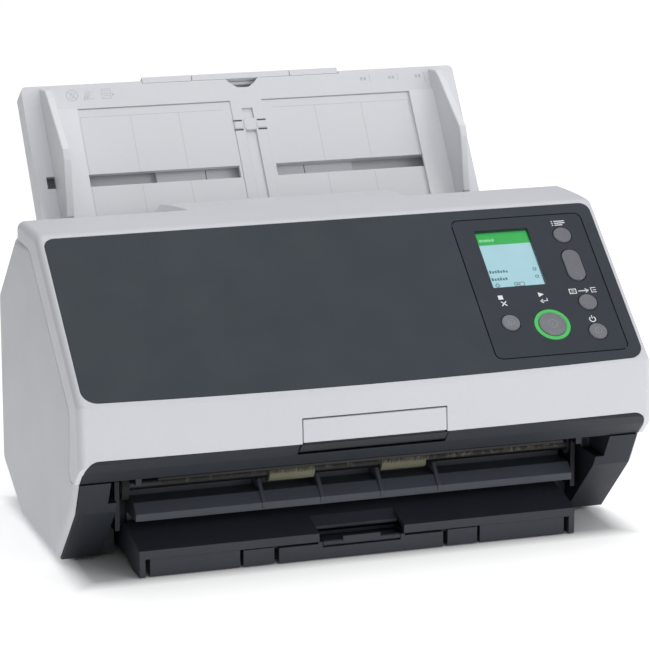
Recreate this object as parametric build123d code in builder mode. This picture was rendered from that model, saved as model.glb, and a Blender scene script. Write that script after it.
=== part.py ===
from build123d import *
import math
import os

os.makedirs("parts", exist_ok=True)

# ---------------------------------------------------------------------------
# Sheet fed document scanner. Millimetres, +X right, +Y towards the back,
# +Z up. The origin is on the desk, midway between the two sides and midway
# between the foremost and rearmost points of the machine with its trays shut.
# ---------------------------------------------------------------------------

# Overall casing
HALF_W = 150.0          # half of the overall width
WALL = 2.5              # moulded wall thickness
BASE_Z = 2.0            # underside of the casing above the desk
CORNER_R = 5.0          # rounding of the side covers and of the front corners
PLAN_R = 4160.0         # radius of the bowed front in plan
FRONT_Y = -117.2        # foremost line of the bowed front, at FRONT_Z
FRONT_Z = 67.5          # lower edge of the light front
FRONT_LEAN = 3.6        # backward lean of the front, degrees

# Sloping control face: a plane through its upper edge
SLOPE_DEG = 40.05
SLOPE_TOP = (-34.8, 160.7)      # (y, z) of the dark insert's upper edge
INSERT_T = 2.0
INSERT_HALF_W = 146.6
INSERT_LEN = 100.9              # length down the slope at the corners
INSERT_BOW = 2.4                # extra length in the middle
INSERT_R_TOP, INSERT_R_BOTTOM = 5.5, 8.0

# Paper path: a straight run from the exit up to the foot of the hopper
PATH_E = (-76.0, 44.0)
PATH_Q = (44.7, 125.0)
PATH_GAP = 0.75                 # from the path's centre to each guide
PATH_HALF_W = 113.0

# Sheet hopper (chute)
CHUTE_DEG = 55.0
CHUTE_TOP = (107.0, 214.0)      # (y, z) of the upper front edge
CHUTE_HALF_W = 124.0
CHUTE_LEN = 106.0
CHUTE_T = 12.4
SLOT_LOW, SLOT_HIGH = -60.5, -53.5

# Side guides
GUIDE_FACE = 109.5              # inner face of a guide, for the widest sheet
GUIDE_TRAVEL = 80.0
PINION_R = 4.2

# Top unit hinge
HINGE_Y, HINGE_Z = 38.0, 148.5
HINGE_R = 2.5

# Rollers, shafts and pulleys
PICK_R, FEED_R, EJECT_R = 11.0, 8.0, 5.0
BRAKE_R, IDLER_R = 7.0, 5.0
SHAFT_R = 3.0
NIP = 0.1                       # gap between a driven roller and its partner
RUN = 0.05                      # radial running clearance
PULLEY_R = 6.0
MOTOR_PULLEY_R = 4.0
MOTOR_Y, MOTOR_Z = 18.0, 58.0

# Stacker under the exit
STACK_HALF_W = 116.0
STACK_FRONT = -97.2
EXT1_HALF_W = 62.4
EXT2_HALF_W = 43.8
STOP_HALF_W = 20.4
STOP_LIP_HALF_W = 10.0

# Operator panel, in the sloping face's own axes (x, down the slope)
OP_X0, OP_X1 = 68.0, 139.7
OP_TOP, OP_BOTTOM = 6.6, 95.0
LCD_X0, LCD_X1, LCD_TOP, LCD_BOTTOM = 78.8, 108.4, 13.8, 50.9
BUTTON_R = 4.85
SCAN_R = 7.25
MENU = (126.2, 20.3)
ROCKER = (126.4, 40.2)
MANUAL = (126.8, 64.3)
POWER = (126.6, 83.0)
STOP = (81.6, 73.5)
SCAN = (103.5, 76.5)
BUTTON_TRAVEL = 0.8

# ---------------------------------------------------------------------------
# Shared points and planes
# ---------------------------------------------------------------------------
S = math.sin(math.radians(SLOPE_DEG))
C = math.cos(math.radians(SLOPE_DEG))
PANEL = Plane(origin=(0, SLOPE_TOP[0], SLOPE_TOP[1]), x_dir=(1, 0, 0), z_dir=(0, -S, C))

CS = math.sin(math.radians(CHUTE_DEG))
CC = math.cos(math.radians(CHUTE_DEG))
CHUTE = Plane(origin=(0, CHUTE_TOP[0], CHUTE_TOP[1]), x_dir=(1, 0, 0), z_dir=(0, -CS, CC))

LEAN = math.radians(FRONT_LEAN)
FRONT = Plane(origin=(0, 0, FRONT_Z), x_dir=(1, 0, 0), z_dir=(0, math.sin(LEAN), math.cos(LEAN)))

PATH_LEN = math.hypot(PATH_Q[0] - PATH_E[0], PATH_Q[1] - PATH_E[1])
PU = ((PATH_Q[0] - PATH_E[0]) / PATH_LEN, (PATH_Q[1] - PATH_E[1]) / PATH_LEN)
PN = (-PU[1], PU[0])


def on_path(t, off=0.0):
    """(y, z) at distance t up the paper path, off above it."""
    return (PATH_E[0] + PU[0] * t + PN[0] * off, PATH_E[1] + PU[1] * t + PN[1] * off)


def path_box(t0, t1, off0, off1):
    """Four (y, z) corners of a block set along the paper path."""
    return [on_path(t0, off0), on_path(t1, off0), on_path(t1, off1), on_path(t0, off1)]


def on_slope(down, out):
    """(y, z) of a point of the sloping face, down the slope and out from it."""
    return (SLOPE_TOP[0] - C * down - S * out, SLOPE_TOP[1] - S * down + C * out)


def chute_side(x):
    """Plane across the hopper at x: first axis up its face, second axis out of it."""
    return Plane(origin=(x, CHUTE_TOP[0], CHUTE_TOP[1]), x_dir=(0, CC, CS), z_dir=(1, 0, 0))


def prism(pts, x0, x1, mode=Mode.ADD, radii=None):
    """Side profile of (y, z) points, extruded from x0 to x1."""
    with BuildSketch(Plane.YZ.offset(x0)) as profile:
        with BuildLine():
            if radii is None:
                Polyline(*pts, close=True)
            else:
                FilletPolyline(*pts, radius=radii, close=True)
        make_face()
    extrude(profile.sketch, amount=x1 - x0, mode=mode)


def rod(centre, r, x0, x1, mode=Mode.ADD):
    """Round bar along X with its axis at centre (y, z)."""
    with BuildSketch(Plane.YZ.offset(x0)) as profile:
        with Locations(centre):
            Circle(r)
    extrude(profile.sketch, amount=x1 - x0, mode=mode)


def ring(centre, r_out, r_in, x0, x1):
    """Tube along X with its axis at centre (y, z)."""
    with BuildSketch(Plane.YZ.offset(x0)) as profile:
        with Locations(centre):
            Circle(r_out)
            Circle(r_in, mode=Mode.SUBTRACT)
    extrude(profile.sketch, amount=x1 - x0)


def block(x0, x1, y0, y1, z0, z1, mode=Mode.ADD):
    """Upright block between two corners."""
    with Locations(((x0 + x1) / 2, (y0 + y1) / 2, (z0 + z1) / 2)):
        Box(x1 - x0, y1 - y0, z1 - z0, mode=mode)


def plate(plane, x0, x1, y0, y1, z0, z1, mode=Mode.ADD, r=0.0):
    """Block between two corners given in a plane's own axes, with corner radius r."""
    with BuildSketch(plane.offset(z0)) as outline:
        with Locations(((x0 + x1) / 2, (y0 + y1) / 2)):
            if r > 0:
                RectangleRounded(x1 - x0, y1 - y0, r)
            else:
                Rectangle(x1 - x0, y1 - y0)
    extrude(outline.sketch, amount=z1 - z0, mode=mode)


def disc(plane, x, y, r, z0, z1, mode=Mode.ADD):
    """Round boss standing on a plane's own axes."""
    with BuildSketch(plane.offset(z0)) as outline:
        with Locations((x, y)):
            Circle(r)
    extrude(outline.sketch, amount=z1 - z0, mode=mode)


def pill(plane, x, y, length, width, z0, z1, mode=Mode.ADD):
    """Upright oblong boss standing on a plane's own axes."""
    with BuildSketch(plane.offset(z0)) as outline:
        with Locations((x, y)):
            SlotOverall(length, width, rotation=90)
    extrude(outline.sketch, amount=z1 - z0, mode=mode)


def front_outline(inset, mode):
    """Bowed front with rounded corners, seen from above, set back by inset."""
    w = HALF_W - inset
    y = FRONT_Y + inset
    corner = y + w * w / (2 * PLAN_R)
    with BuildSketch(FRONT) as plan:
        with BuildLine():
            ThreePointArc((-w, corner), (0, y), (w, corner))
            Line((w, corner), (w, 80))
            Line((w, 80), (-w, 80))
            Line((-w, 80), (-w, corner))
        make_face()
        fillet(plan.vertices().group_by(Axis.Y)[0], CORNER_R - inset * 0.8)
    extrude(plan.sketch, amount=160, both=True, mode=mode)


PICK_C = on_path(128, -PICK_R)
BRAKE_C = on_path(126, BRAKE_R + NIP)
FEED_C = on_path(96, -FEED_R)
FEED_IDLER_C = on_path(96, IDLER_R + NIP)
EJECT_C = on_path(2.5, -EJECT_R)
EJECT_IDLER_C = on_path(2.5, IDLER_R + NIP)
LATCH_C = (-97.0, 66.0)
TAB_PIVOT = (-113.8, 79.0)
STOP_PIVOT = (-95.4, 8.4)

# Lower edge of the top unit where it meets the side covers
SEAM = [(6.5, 152.7), (-16.9, 152.6), (-21.4, 151.0), (-36.7, 137.6), (-95.0, 90.0),
        (-97.6, 85.0), (-94.6, 58.5), (-97.2, 54.2), (-104.2, 53.4)]
ADF_ZONE = SEAM + [(-140.0, 53.4), (-140.0, 220.0), (6.5, 220.0)]

# Silhouette of the base seen from the side
BASE_SIDE = [(-108.0, 100.0), (-103.7, 52.9), (-94.3, 35.3), (-83.8, 24.8), (-60.4, BASE_Z),
             (13.0, BASE_Z), (56.5, 22.9), (56.5, 114.6), (15.6, 152.6), (-50.0, 157.0)]
BASE_RADII = [1, 1, 10, 10, 8, 10, 8, 10, 1, 1]

# ---------------------------------------------------------------------------
# Side covers: dished shells with a rim
# ---------------------------------------------------------------------------
with BuildPart() as right_side_cover:
    with BuildSketch(Plane.YZ.offset(126)):
        with BuildLine():
            FilletPolyline(*BASE_SIDE, radius=BASE_RADII, close=True)
        make_face()
    extrude(amount=HALF_W - 126)
    fillet(right_side_cover.faces().sort_by(Axis.X)[-1].edges(), CORNER_R - 0.2)
    with BuildSketch(Plane.YZ.offset(120)):
        with BuildLine():
            Polyline(*ADF_ZONE, close=True)
        make_face()
        offset(amount=0.6, kind=Kind.INTERSECTION)
    extrude(amount=40, mode=Mode.SUBTRACT)
    with BuildSketch(Plane.YZ.offset(120)):
        with BuildLine():
            FilletPolyline(*BASE_SIDE, radius=BASE_RADII, close=True)
        make_face()
        offset(amount=-WALL, kind=Kind.INTERSECTION)
        with BuildSketch(mode=Mode.SUBTRACT):
            with BuildLine():
                Polyline(*ADF_ZONE, close=True)
            make_face()
            offset(amount=0.6 + WALL, kind=Kind.INTERSECTION)
    extrude(amount=HALF_W - WALL - 120, mode=Mode.SUBTRACT)
    # the front edge has no rim: the dark front closes it
    block(120, 147.2, -120, -57.8, -5, 53.5, mode=Mode.SUBTRACT)
    # the underside is closed by the pan
    block(120, 141.9, -70, 60, -5, 27.4, mode=Mode.SUBTRACT)
right_side_cover.part.label = "right_side_cover"
export_step(right_side_cover.part, "parts/right_side_cover.step")

with BuildPart() as left_side_cover:
    mirror(right_side_cover.part, about=Plane.YZ)
left_side_cover.part.label = "left_side_cover"
export_step(left_side_cover.part, "parts/left_side_cover.step")

# ---------------------------------------------------------------------------
# Rear cover with vents, connector openings and sunk screw seats
# ---------------------------------------------------------------------------
SCREW_XZ = [(-119.0, 38.0), (119.0, 38.0), (-119.0, 104.0), (119.0, 104.0)]
PORT_Z = 44.0
with BuildPart() as rear_cover:
    prism([(56.5, 27.3), (56.5, 118.9), (47.3, 125.3), (46.0, 123.4), (54.0, 117.8), (54.0, 29.8),
           (46.0, 29.8), (46.0, 27.3)], -125.5, 125.5)
    # vents
    with BuildSketch(Plane.XZ.offset(-60)):
        with Locations((-72, 84)):
            with GridLocations(6.0, 0, 15, 1):
                SlotOverall(34, 2.6, rotation=90)
    extrude(amount=10, mode=Mode.SUBTRACT)
    # connector openings
    with BuildSketch(Plane.XZ.offset(-60)):
        with Locations((42, PORT_Z)):
            Rectangle(16.6, 14.0)
        with Locations((68, PORT_Z)):
            Rectangle(13.0, 11.6)
        with Locations((96, PORT_Z)):
            Circle(5.4)
        with Locations((-104, PORT_Z)):
            Rectangle(7.2, 3.2)
    extrude(amount=10, mode=Mode.SUBTRACT)
    # screw seats
    with BuildSketch(Plane.XZ.offset(-60)):
        with Locations(*SCREW_XZ):
            Circle(1.55)
    extrude(amount=10, mode=Mode.SUBTRACT)
    with BuildSketch(Plane.XZ.offset(-60)):
        with Locations(*SCREW_XZ):
            Circle(3.4)
    extrude(amount=4.8, mode=Mode.SUBTRACT)
rear_cover.part.label = "rear_cover"
export_step(rear_cover.part, "parts/rear_cover.step")

with BuildPart() as case_screws:
    with BuildSketch(Plane.XZ.offset(-56.3)):
        with Locations(*SCREW_XZ):
            Circle(3.0)
            RegularPolygon(1.1, 4, mode=Mode.SUBTRACT)
    extrude(amount=0.7)
    with BuildSketch(Plane.XZ.offset(-55.6)):
        with Locations(*SCREW_XZ):
            Circle(3.0)
    extrude(amount=0.4)
    with BuildSketch(Plane.XZ.offset(-55.3)):
        with Locations(*SCREW_XZ):
            Circle(1.5)
    extrude(amount=9)
case_screws.part.label = "case_screws"
export_step(case_screws.part, "parts/case_screws.step")

# ---------------------------------------------------------------------------
# Bottom pan: undercut rear, raised roof over the stacker bay, hollow rails
# ---------------------------------------------------------------------------
with BuildPart() as bottom_pan:
    prism([(56.5, 22.9), (13.0, 2.0), (8.0, 2.0), (8.0, 15.2), (-57.5, 15.2), (-57.5, 17.7), (10.5, 17.7),
           (10.5, 4.5), (12.4, 4.5), (54.0, 24.5), (54.0, 26.8), (56.5, 26.8)], -141.5, 141.5)
    for side in (-1, 1):
        a, b = sorted((side * 118.6, side * 141.5))
        block(a, b, -57.5, 9.0, 2.0, 16.0)
        a, b = sorted((side * 121.1, side * 139.0))
        block(a, b, -55.0, 7.0, 4.5, 20.0, mode=Mode.SUBTRACT)
bottom_pan.part.label = "bottom_pan"
export_step(bottom_pan.part, "parts/bottom_pan.step")

with BuildPart() as rubber_feet:
    with BuildSketch(Plane.XY):
        with Locations((-130, -48), (130, -48), (-130, 1.5), (130, 1.5)):
            Circle(6.5)
    extrude(amount=BASE_Z)
rubber_feet.part.label = "rubber_feet"
export_step(rubber_feet.part, "parts/rubber_feet.step")

# ---------------------------------------------------------------------------
# Dark lower front: two pillars joined by a web behind the exit
# ---------------------------------------------------------------------------
with BuildPart() as front_fascia:
    for side in (-1, 1):
        a, b = sorted((side * 127.0, side * 146.9))
        prism([(-104.7, 53.0), (-94.6, 35.2), (-84.1, 24.7), (-61.5, 2.4), (-58.5, 2.4), (-58.5, 53.0)], a, b)
        a, b = sorted((side * 134.5, side * 144.5))
        prism([(-99.8, 50.4), (-92.0, 36.8), (-82.0, 26.9), (-61.0, 6.2), (-57.0, 6.2), (-57.0, 50.4)], a, b,
              mode=Mode.SUBTRACT)
        a, b = sorted((side * 126.0, side * 131.6))
        block(a, b, -110, -78.0, 40.6, 54, mode=Mode.SUBTRACT)
    block(-140, 140, -60.9, -58.5, 18.2, 40.0)
    block(-120.6, -114.4, -62, -58, 31.0, 41.0, mode=Mode.SUBTRACT)
    fillet(front_fascia.edges().filter_by(Axis.Z).group_by(Axis.Y)[0], 1.2)
front_fascia.part.label = "front_fascia"
export_step(front_fascia.part, "parts/front_fascia.step")

# Ribbed ledge below the exit rollers
with BuildPart() as exit_guide:
    prism([(-61.4, 18.6), (-61.4, 46.0), (-64.0, 46.0), (-64.0, 33.2), (-77.0, 33.2), (-82.2, 28.4), (-82.2, 24.8),
           (-64.0, 24.8), (-64.0, 18.6)], -113.5, 120.4)
    for x in (-47.0, -16.0, 16.0, 47.0):
        prism([(-63.0, 45.0), (-68.0, 45.0), (-76.0, 36.0), (-82.6, 28.6), (-82.6, 26.0), (-63.0, 26.0)],
              x - 0.9, x + 0.9)
    rod(EJECT_C, SHAFT_R + 0.5, -125, 125, mode=Mode.SUBTRACT)
exit_guide.part.label = "exit_guide"
export_step(exit_guide.part, "parts/exit_guide.step")

# ---------------------------------------------------------------------------
# Chassis: two plates with the shaft seats and the hinge ears, and two rails
# ---------------------------------------------------------------------------
CHASSIS = [(-79.0, 20.0), (-79.0, 45.5), (-71.0, 50.0), (31.0, 119.0), (34.0, 135.0), (34.0, 152.3), (42.0, 152.3),
           (42.5, 140.0), (43.8, 126.0), (43.8, 116.5), (51.5, 112.0), (51.5, 31.0),
           (45.5, 31.0), (45.5, 24.5), (41.0, 20.0)]
with BuildPart() as chassis_frame:
    for side in (-1, 1):
        a, b = sorted((side * 121.0, side * 123.5))
        prism(CHASSIS, a, b)
        block(a, b, -61.8, -57.9, 15.0, 40.7, mode=Mode.SUBTRACT)
        for centre in (PICK_C, FEED_C, EJECT_C):
            rod(centre, 5.5, a, b, mode=Mode.SUBTRACT)
        rod((HINGE_Y, HINGE_Z), HINGE_R, a, b, mode=Mode.SUBTRACT)
    rod((MOTOR_Y, MOTOR_Z), 5.5, -123.5, -121.0, mode=Mode.SUBTRACT)
    # rails welded between the plates
    block(-121, 121, 22.0, 24.5, 26.0, 46.0)
    block(-121, 121, -50.0, -47.5, 24.0, 34.0)
    rod((MOTOR_Y, MOTOR_Z), 14.0, -120.9, -112, mode=Mode.SUBTRACT)
chassis_frame.part.label = "chassis_frame"
export_step(chassis_frame.part, "parts/chassis_frame.step")

with BuildPart() as hinge_pins:
    rod((HINGE_Y, HINGE_Z), HINGE_R, 119.6, 127.2)
    rod((HINGE_Y, HINGE_Z), HINGE_R, -127.2, -119.6)
hinge_pins.part.label = "hinge_pins"
export_step(hinge_pins.part, "parts/hinge_pins.step")

with BuildPart() as shaft_bushes:
    for centre in (PICK_C, FEED_C, EJECT_C):
        ring(centre, 5.5, SHAFT_R + RUN, 121.0, 123.5)
        ring(centre, 5.5, SHAFT_R + RUN, -123.5, -121.0)
shaft_bushes.part.label = "shaft_bushes"
export_step(shaft_bushes.part, "parts/shaft_bushes.step")

# ---------------------------------------------------------------------------
# Lower half of the paper path
# ---------------------------------------------------------------------------
TYRE_X = {"pick": [(-25, -5), (5, 25)], "feed": [(-88, -72), (-38, -22), (22, 38), (72, 88)],
          "eject": [(-42, -18), (18, 42)]}

with BuildPart() as lower_paper_guide:
    prism(path_box(10, 142, -3.75, -PATH_GAP), -PATH_HALF_W, 120.8)
    prism(path_box(50.3, 79.7, -10, 5), -110.4, 110.4, mode=Mode.SUBTRACT)
    for a, b in TYRE_X["pick"]:
        prism(path_box(117.5, 138.5, -10, 5), a - 1, b + 1, mode=Mode.SUBTRACT)
    for a, b in TYRE_X["feed"]:
        prism(path_box(87.5, 104.5, -10, 5), a - 1, b + 1, mode=Mode.SUBTRACT)
    # stiffening ribs underneath
    for x in (-100.0, -55.0, 0.0, 55.0, 100.0):
        prism(path_box(19, 44, -9, -3.7), x - 1, x + 1)
lower_paper_guide.part.label = "lower_paper_guide"
export_step(lower_paper_guide.part, "parts/lower_paper_guide.step")

with BuildPart() as lower_sensor_unit:
    prism([on_path(50.8, -0.85), on_path(79.2, -0.85), on_path(79.2, -4.2), on_path(84, -4.2), on_path(84, -28),
           on_path(48, -28), on_path(48, -4.2), on_path(50.8, -4.2)], -110.0, 110.0)
    prism(path_box(53, 77, -2.85, 0), -108, 108, mode=Mode.SUBTRACT)
lower_sensor_unit.part.label = "lower_sensor_unit"
export_step(lower_sensor_unit.part, "parts/lower_sensor_unit.step")

with BuildPart() as lower_glass:
    prism(path_box(53.1, 76.9, -2.85, -0.88), -107.9, 107.9)
lower_glass.part.label = "lower_glass"
export_step(lower_glass.part, "parts/lower_glass.step")

# ---------------------------------------------------------------------------
# Driven rollers, each with a pulley at its left end
# ---------------------------------------------------------------------------
with BuildPart() as pick_roller:
    rod(PICK_C, SHAFT_R, -123.7, 123.7)
    rod(PICK_C, PULLEY_R, -119.8, -115.2)
    for a, b in TYRE_X["pick"]:
        rod(PICK_C, PICK_R, a, b)
        rod(PICK_C, PICK_R - 4, a - 1.5, b + 1.5)
pick_roller.part.label = "pick_roller"
export_step(pick_roller.part, "parts/pick_roller.step")

with BuildPart() as feed_shaft:
    rod(FEED_C, SHAFT_R, -123.7, 123.7)
    rod(FEED_C, PULLEY_R, -119.8, -115.2)
feed_shaft.part.label = "feed_shaft"
export_step(feed_shaft.part, "parts/feed_shaft.step")

with BuildPart() as feed_tyres:
    for a, b in TYRE_X["feed"]:
        ring(FEED_C, FEED_R, SHAFT_R, a, b)
feed_tyres.part.label = "feed_tyres"
export_step(feed_tyres.part, "parts/feed_tyres.step")

with BuildPart() as eject_shaft:
    rod(EJECT_C, SHAFT_R, -123.7, 123.7)
    rod(EJECT_C, PULLEY_R, -119.8, -115.2)
eject_shaft.part.label = "eject_shaft"
export_step(eject_shaft.part, "parts/eject_shaft.step")

with BuildPart() as eject_tyres:
    for a, b in TYRE_X["eject"]:
        ring(EJECT_C, EJECT_R, SHAFT_R, a, b)
eject_tyres.part.label = "eject_tyres"
export_step(eject_tyres.part, "parts/eject_tyres.step")

with BuildPart() as drive_motor:
    rod((MOTOR_Y, MOTOR_Z), 17.0, -144.0, -125.0)
    prism([(MOTOR_Y - 18, MOTOR_Z - 18), (MOTOR_Y + 18, MOTOR_Z - 18), (MOTOR_Y + 18, MOTOR_Z + 18),
           (MOTOR_Y - 18, MOTOR_Z + 18)], -126.0, -123.5, radii=3)
    rod((MOTOR_Y, MOTOR_Z), 2.0 + RUN, -144.1, -123.4, mode=Mode.SUBTRACT)
drive_motor.part.label = "drive_motor"
export_step(drive_motor.part, "parts/drive_motor.step")

with BuildPart() as motor_pulley:
    rod((MOTOR_Y, MOTOR_Z), 2.0, -143.0, -115.2)
    rod((MOTOR_Y, MOTOR_Z), MOTOR_PULLEY_R, -119.8, -115.2)
motor_pulley.part.label = "motor_pulley"
export_step(motor_pulley.part, "parts/motor_pulley.step")

with BuildPart() as drive_belt:
    with BuildSketch(Plane.YZ.offset(-119.4)) as belt_profile:
        with BuildSketch() as belt_outside:
            for centre, r in ((PICK_C, PULLEY_R), (FEED_C, PULLEY_R), (EJECT_C, PULLEY_R),
                              ((MOTOR_Y, MOTOR_Z), MOTOR_PULLEY_R)):
                with Locations(centre):
                    Circle(r + 1.5)
            make_hull()
        with BuildSketch(mode=Mode.SUBTRACT) as belt_inside:
            for centre, r in ((PICK_C, PULLEY_R), (FEED_C, PULLEY_R), (EJECT_C, PULLEY_R),
                              ((MOTOR_Y, MOTOR_Z), MOTOR_PULLEY_R)):
                with Locations(centre):
                    Circle(r + RUN)
            make_hull()
    extrude(amount=3.8)
drive_belt.part.label = "drive_belt"
export_step(drive_belt.part, "parts/drive_belt.step")

# ---------------------------------------------------------------------------
# Electronics at the back of the base
# ---------------------------------------------------------------------------
with BuildPart() as main_board:
    block(-20, 112, 47.4, 49.0, 33, 104)
    for x, z, w, h in ((10, 80, 22, 22), (45, 84, 14, 14), (75, 80, 18, 12), (98, 84, 10, 22), (10, 50, 16, 12)):
        block(x - w / 2, x + w / 2, 45.6, 47.6, z - h / 2, z + h / 2)
main_board.part.label = "main_board"
export_step(main_board.part, "parts/main_board.step")

with BuildPart() as data_ports:
    block(42 - 8.0, 42 + 8.0, 49.0, 56.0, PORT_Z - 6.7, PORT_Z + 6.7)
    block(42 - 6.0, 42 + 6.0, 51.0, 57.0, PORT_Z - 4.2, PORT_Z + 4.2, mode=Mode.SUBTRACT)
    block(68 - 6.1, 68 + 6.1, 49.0, 56.0, PORT_Z - 5.4, PORT_Z + 5.4)
    block(68 - 4.4, 68 + 4.4, 50.5, 57.0, PORT_Z - 4.0, PORT_Z + 4.0, mode=Mode.SUBTRACT)
    block(68 - 2.8, 68 + 2.8, 50.4, 55.0, PORT_Z - 1.5, PORT_Z + 1.5)
data_ports.part.label = "data_ports"
export_step(data_ports.part, "parts/data_ports.step")

with BuildPart() as power_inlet:
    with BuildSketch(Plane.XZ.offset(-56.0)):
        with Locations((96, PORT_Z)):
            Circle(5.2)
            Circle(2.75, mode=Mode.SUBTRACT)
    extrude(amount=7.0)
    with BuildSketch(Plane.XZ.offset(-55.0)):
        with Locations((96, PORT_Z)):
            Circle(1.0)
    extrude(amount=6.0)
    with BuildSketch(Plane.XZ.offset(-50.4)):
        with Locations((96, PORT_Z)):
            Circle(5.0)
    extrude(amount=1.4)
power_inlet.part.label = "power_inlet"
export_step(power_inlet.part, "parts/power_inlet.step")

# ---------------------------------------------------------------------------
# Sheet hopper
# ---------------------------------------------------------------------------
with BuildPart() as paper_chute:
    plate(CHUTE, -CHUTE_HALF_W, CHUTE_HALF_W, -CHUTE_LEN, 0, -10.2, 0)
    fillet(paper_chute.edges().filter_by(Axis((0, 0, 0), (0, -CS, CC))).group_by(Axis.Z)[-1], 3.0)
    plate(CHUTE, -121.5, 121.5, -103.5, -3.2, -10.3, -3.0, mode=Mode.SUBTRACT)
    # seat of the pull-out extensions' handles and their way out
    plate(CHUTE, -56.5, 56.5, -1.5, 2, -11, 1, mode=Mode.SUBTRACT)
    plate(CHUTE, -56.5, 56.5, -4, 1, -11, -6.5, mode=Mode.SUBTRACT)
    # slots for the side guides
    for side in (-1, 1):
        a, b = sorted((side * 10.5, side * 118.0))
        plate(CHUTE, a, b, SLOT_LOW, SLOT_HIGH, -4, 1, mode=Mode.SUBTRACT)
        a, b = sorted((side * 9.0, side * 108.6))
        plate(CHUTE, a, b, -107, -14.7, -0.5, 1, mode=Mode.SUBTRACT)
    # groove down the middle
    plate(CHUTE, -3.0, 3.0, -107, -19.5, -1.2, 1, mode=Mode.SUBTRACT)
    # finger notch
    with BuildSketch(CHUTE.offset(-4)):
        with BuildLine():
            Polyline((-11, 0.5), (-6.5, -4.4), (-3, -6.8), (3, -6.8), (6.5, -4.4), (11, 0.5), close=True)
        make_face()
    extrude(amount=6, mode=Mode.SUBTRACT)
    # walls beside the throat, and the feet that cover the top unit's hinge
    for side in (-1, 1):
        a, b = sorted((side * 114.2, side * 119.2))
        prism([(24.5, 113.6), (43.0, 126.0), (47.5, 127.6), (60.5, 146.0), (56.0, 148.5), (9.5, 151.8), (9.5, 146.0)],
              a, b)
        a, b = sorted((side * 119.8, side * 129.5))
        prism([(44.3, 126.6), (44.3, 153.6), (62.3, 150.2), (46.6, 127.6)], a, b)
        a, b = sorted((side * 127.5, side * 129.5))
        prism([(31.0, 139.2), (31.0, 147.0), (35.5, 153.6), (44.4, 153.6), (44.4, 126.7)], a, b)
paper_chute.part.label = "paper_chute"
export_step(paper_chute.part, "parts/paper_chute.step")

with BuildPart() as chute_back_cover:
    plate(CHUTE, -CHUTE_HALF_W, CHUTE_HALF_W, -CHUTE_LEN, -0.2, -CHUTE_T, -10.2)
    fillet(chute_back_cover.edges().filter_by(Axis((0, 0, 0), (0, -CS, CC))).group_by(Axis.Z)[-1], 3.0)
    for y in (-30.0, -40.0, -50.0, -60.0):
        plate(CHUTE, -90, 90, y, y + 2.4, -CHUTE_T - 1, -CHUTE_T + 0.8, mode=Mode.SUBTRACT)
chute_back_cover.part.label = "chute_back_cover"
export_step(chute_back_cover.part, "parts/chute_back_cover.step")

with BuildPart() as chute_extension_1:
    for side in (-1, 1):
        a, b = sorted((side * 28.3, side * 56.0))
        plate(CHUTE, a, b, -90, -1.2, -9.8, -6.9)
        plate(CHUTE, a, b, -1.2, 2.3, -9.8, -0.3)
    plate(CHUTE, -56.0, 56.0, -90, -86.5, -9.8, -6.9)
chute_extension_1.part.label = "chute_extension_1"
export_step(chute_extension_1.part, "parts/chute_extension_1.step")

with BuildPart() as chute_extension_2:
    plate(CHUTE, -27.9, 27.9, -86.0, -1.2, -9.8, -6.9)
    plate(CHUTE, -27.9, 27.9, -1.2, 2.3, -9.8, -0.3)
chute_extension_2.part.label = "chute_extension_2"
export_step(chute_extension_2.part, "parts/chute_extension_2.step")

FIN = [(-1.5, 0.1), (-7.1, 9.3), (-12.9, 12.6), (-49.7, 26.6), (-55.5, 25.4), (-82.4, 12.8), (-84.0, 9.5), (-84.0, 0.1)]
with BuildPart() as right_guide:
    with BuildSketch(chute_side(GUIDE_FACE)):
        with BuildLine():
            Polyline(*FIN, close=True)
        make_face()
    extrude(amount=4.2)
    fillet(right_guide.faces().filter_by(Plane.YZ).edges().filter_by(
        lambda e: (e.center() - Vector(0, CHUTE_TOP[0], CHUTE_TOP[1])).dot(Vector(0, -CS, CC)) > 3), 0.8)
    plate(CHUTE, 95.0, 108.4, -84.0, -14.9, -0.4, 1.4)
    plate(CHUTE, 95.0, GUIDE_FACE + 4.2, -84.0, -14.9, 0.1, 1.4)
    plate(CHUTE, 98.0, 108.0, -60.0, -54.0, -6.2, 0.0)
    plate(CHUTE, 98.0, 108.0, -60.0, -49.2, -6.2, -3.4)
    plate(CHUTE, -6.0, 108.0, -57.0 + PINION_R + NIP, -49.2, -6.2, -3.4)
right_guide.part.label = "right_guide"
export_step(right_guide.part, "parts/right_guide.step")

with BuildPart() as left_guide:
    with BuildSketch(chute_side(-GUIDE_FACE)):
        with BuildLine():
            Polyline(*FIN, close=True)
        make_face()
    extrude(amount=-4.2)
    fillet(left_guide.faces().filter_by(Plane.YZ).edges().filter_by(
        lambda e: (e.center() - Vector(0, CHUTE_TOP[0], CHUTE_TOP[1])).dot(Vector(0, -CS, CC)) > 3), 0.8)
    plate(CHUTE, -108.4, -95.0, -84.0, -14.9, -0.4, 1.4)
    plate(CHUTE, -GUIDE_FACE - 4.2, -95.0, -84.0, -14.9, 0.1, 1.4)
    plate(CHUTE, -108.0, -98.0, -60.0, -54.0, -6.2, 0.0)
    plate(CHUTE, -108.0, -98.0, -64.8, -54.0, -6.2, -3.4)
    plate(CHUTE, -108.0, 6.0, -64.8, -57.0 - PINION_R - NIP, -6.2, -3.4)
left_guide.part.label = "left_guide"
export_step(left_guide.part, "parts/left_guide.step")

with BuildPart() as guide_pinion:
    disc(CHUTE, 0, -57.0, PINION_R, -6.2, -3.4)
guide_pinion.part.label = "guide_pinion"
export_step(guide_pinion.part, "parts/guide_pinion.step")

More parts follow.
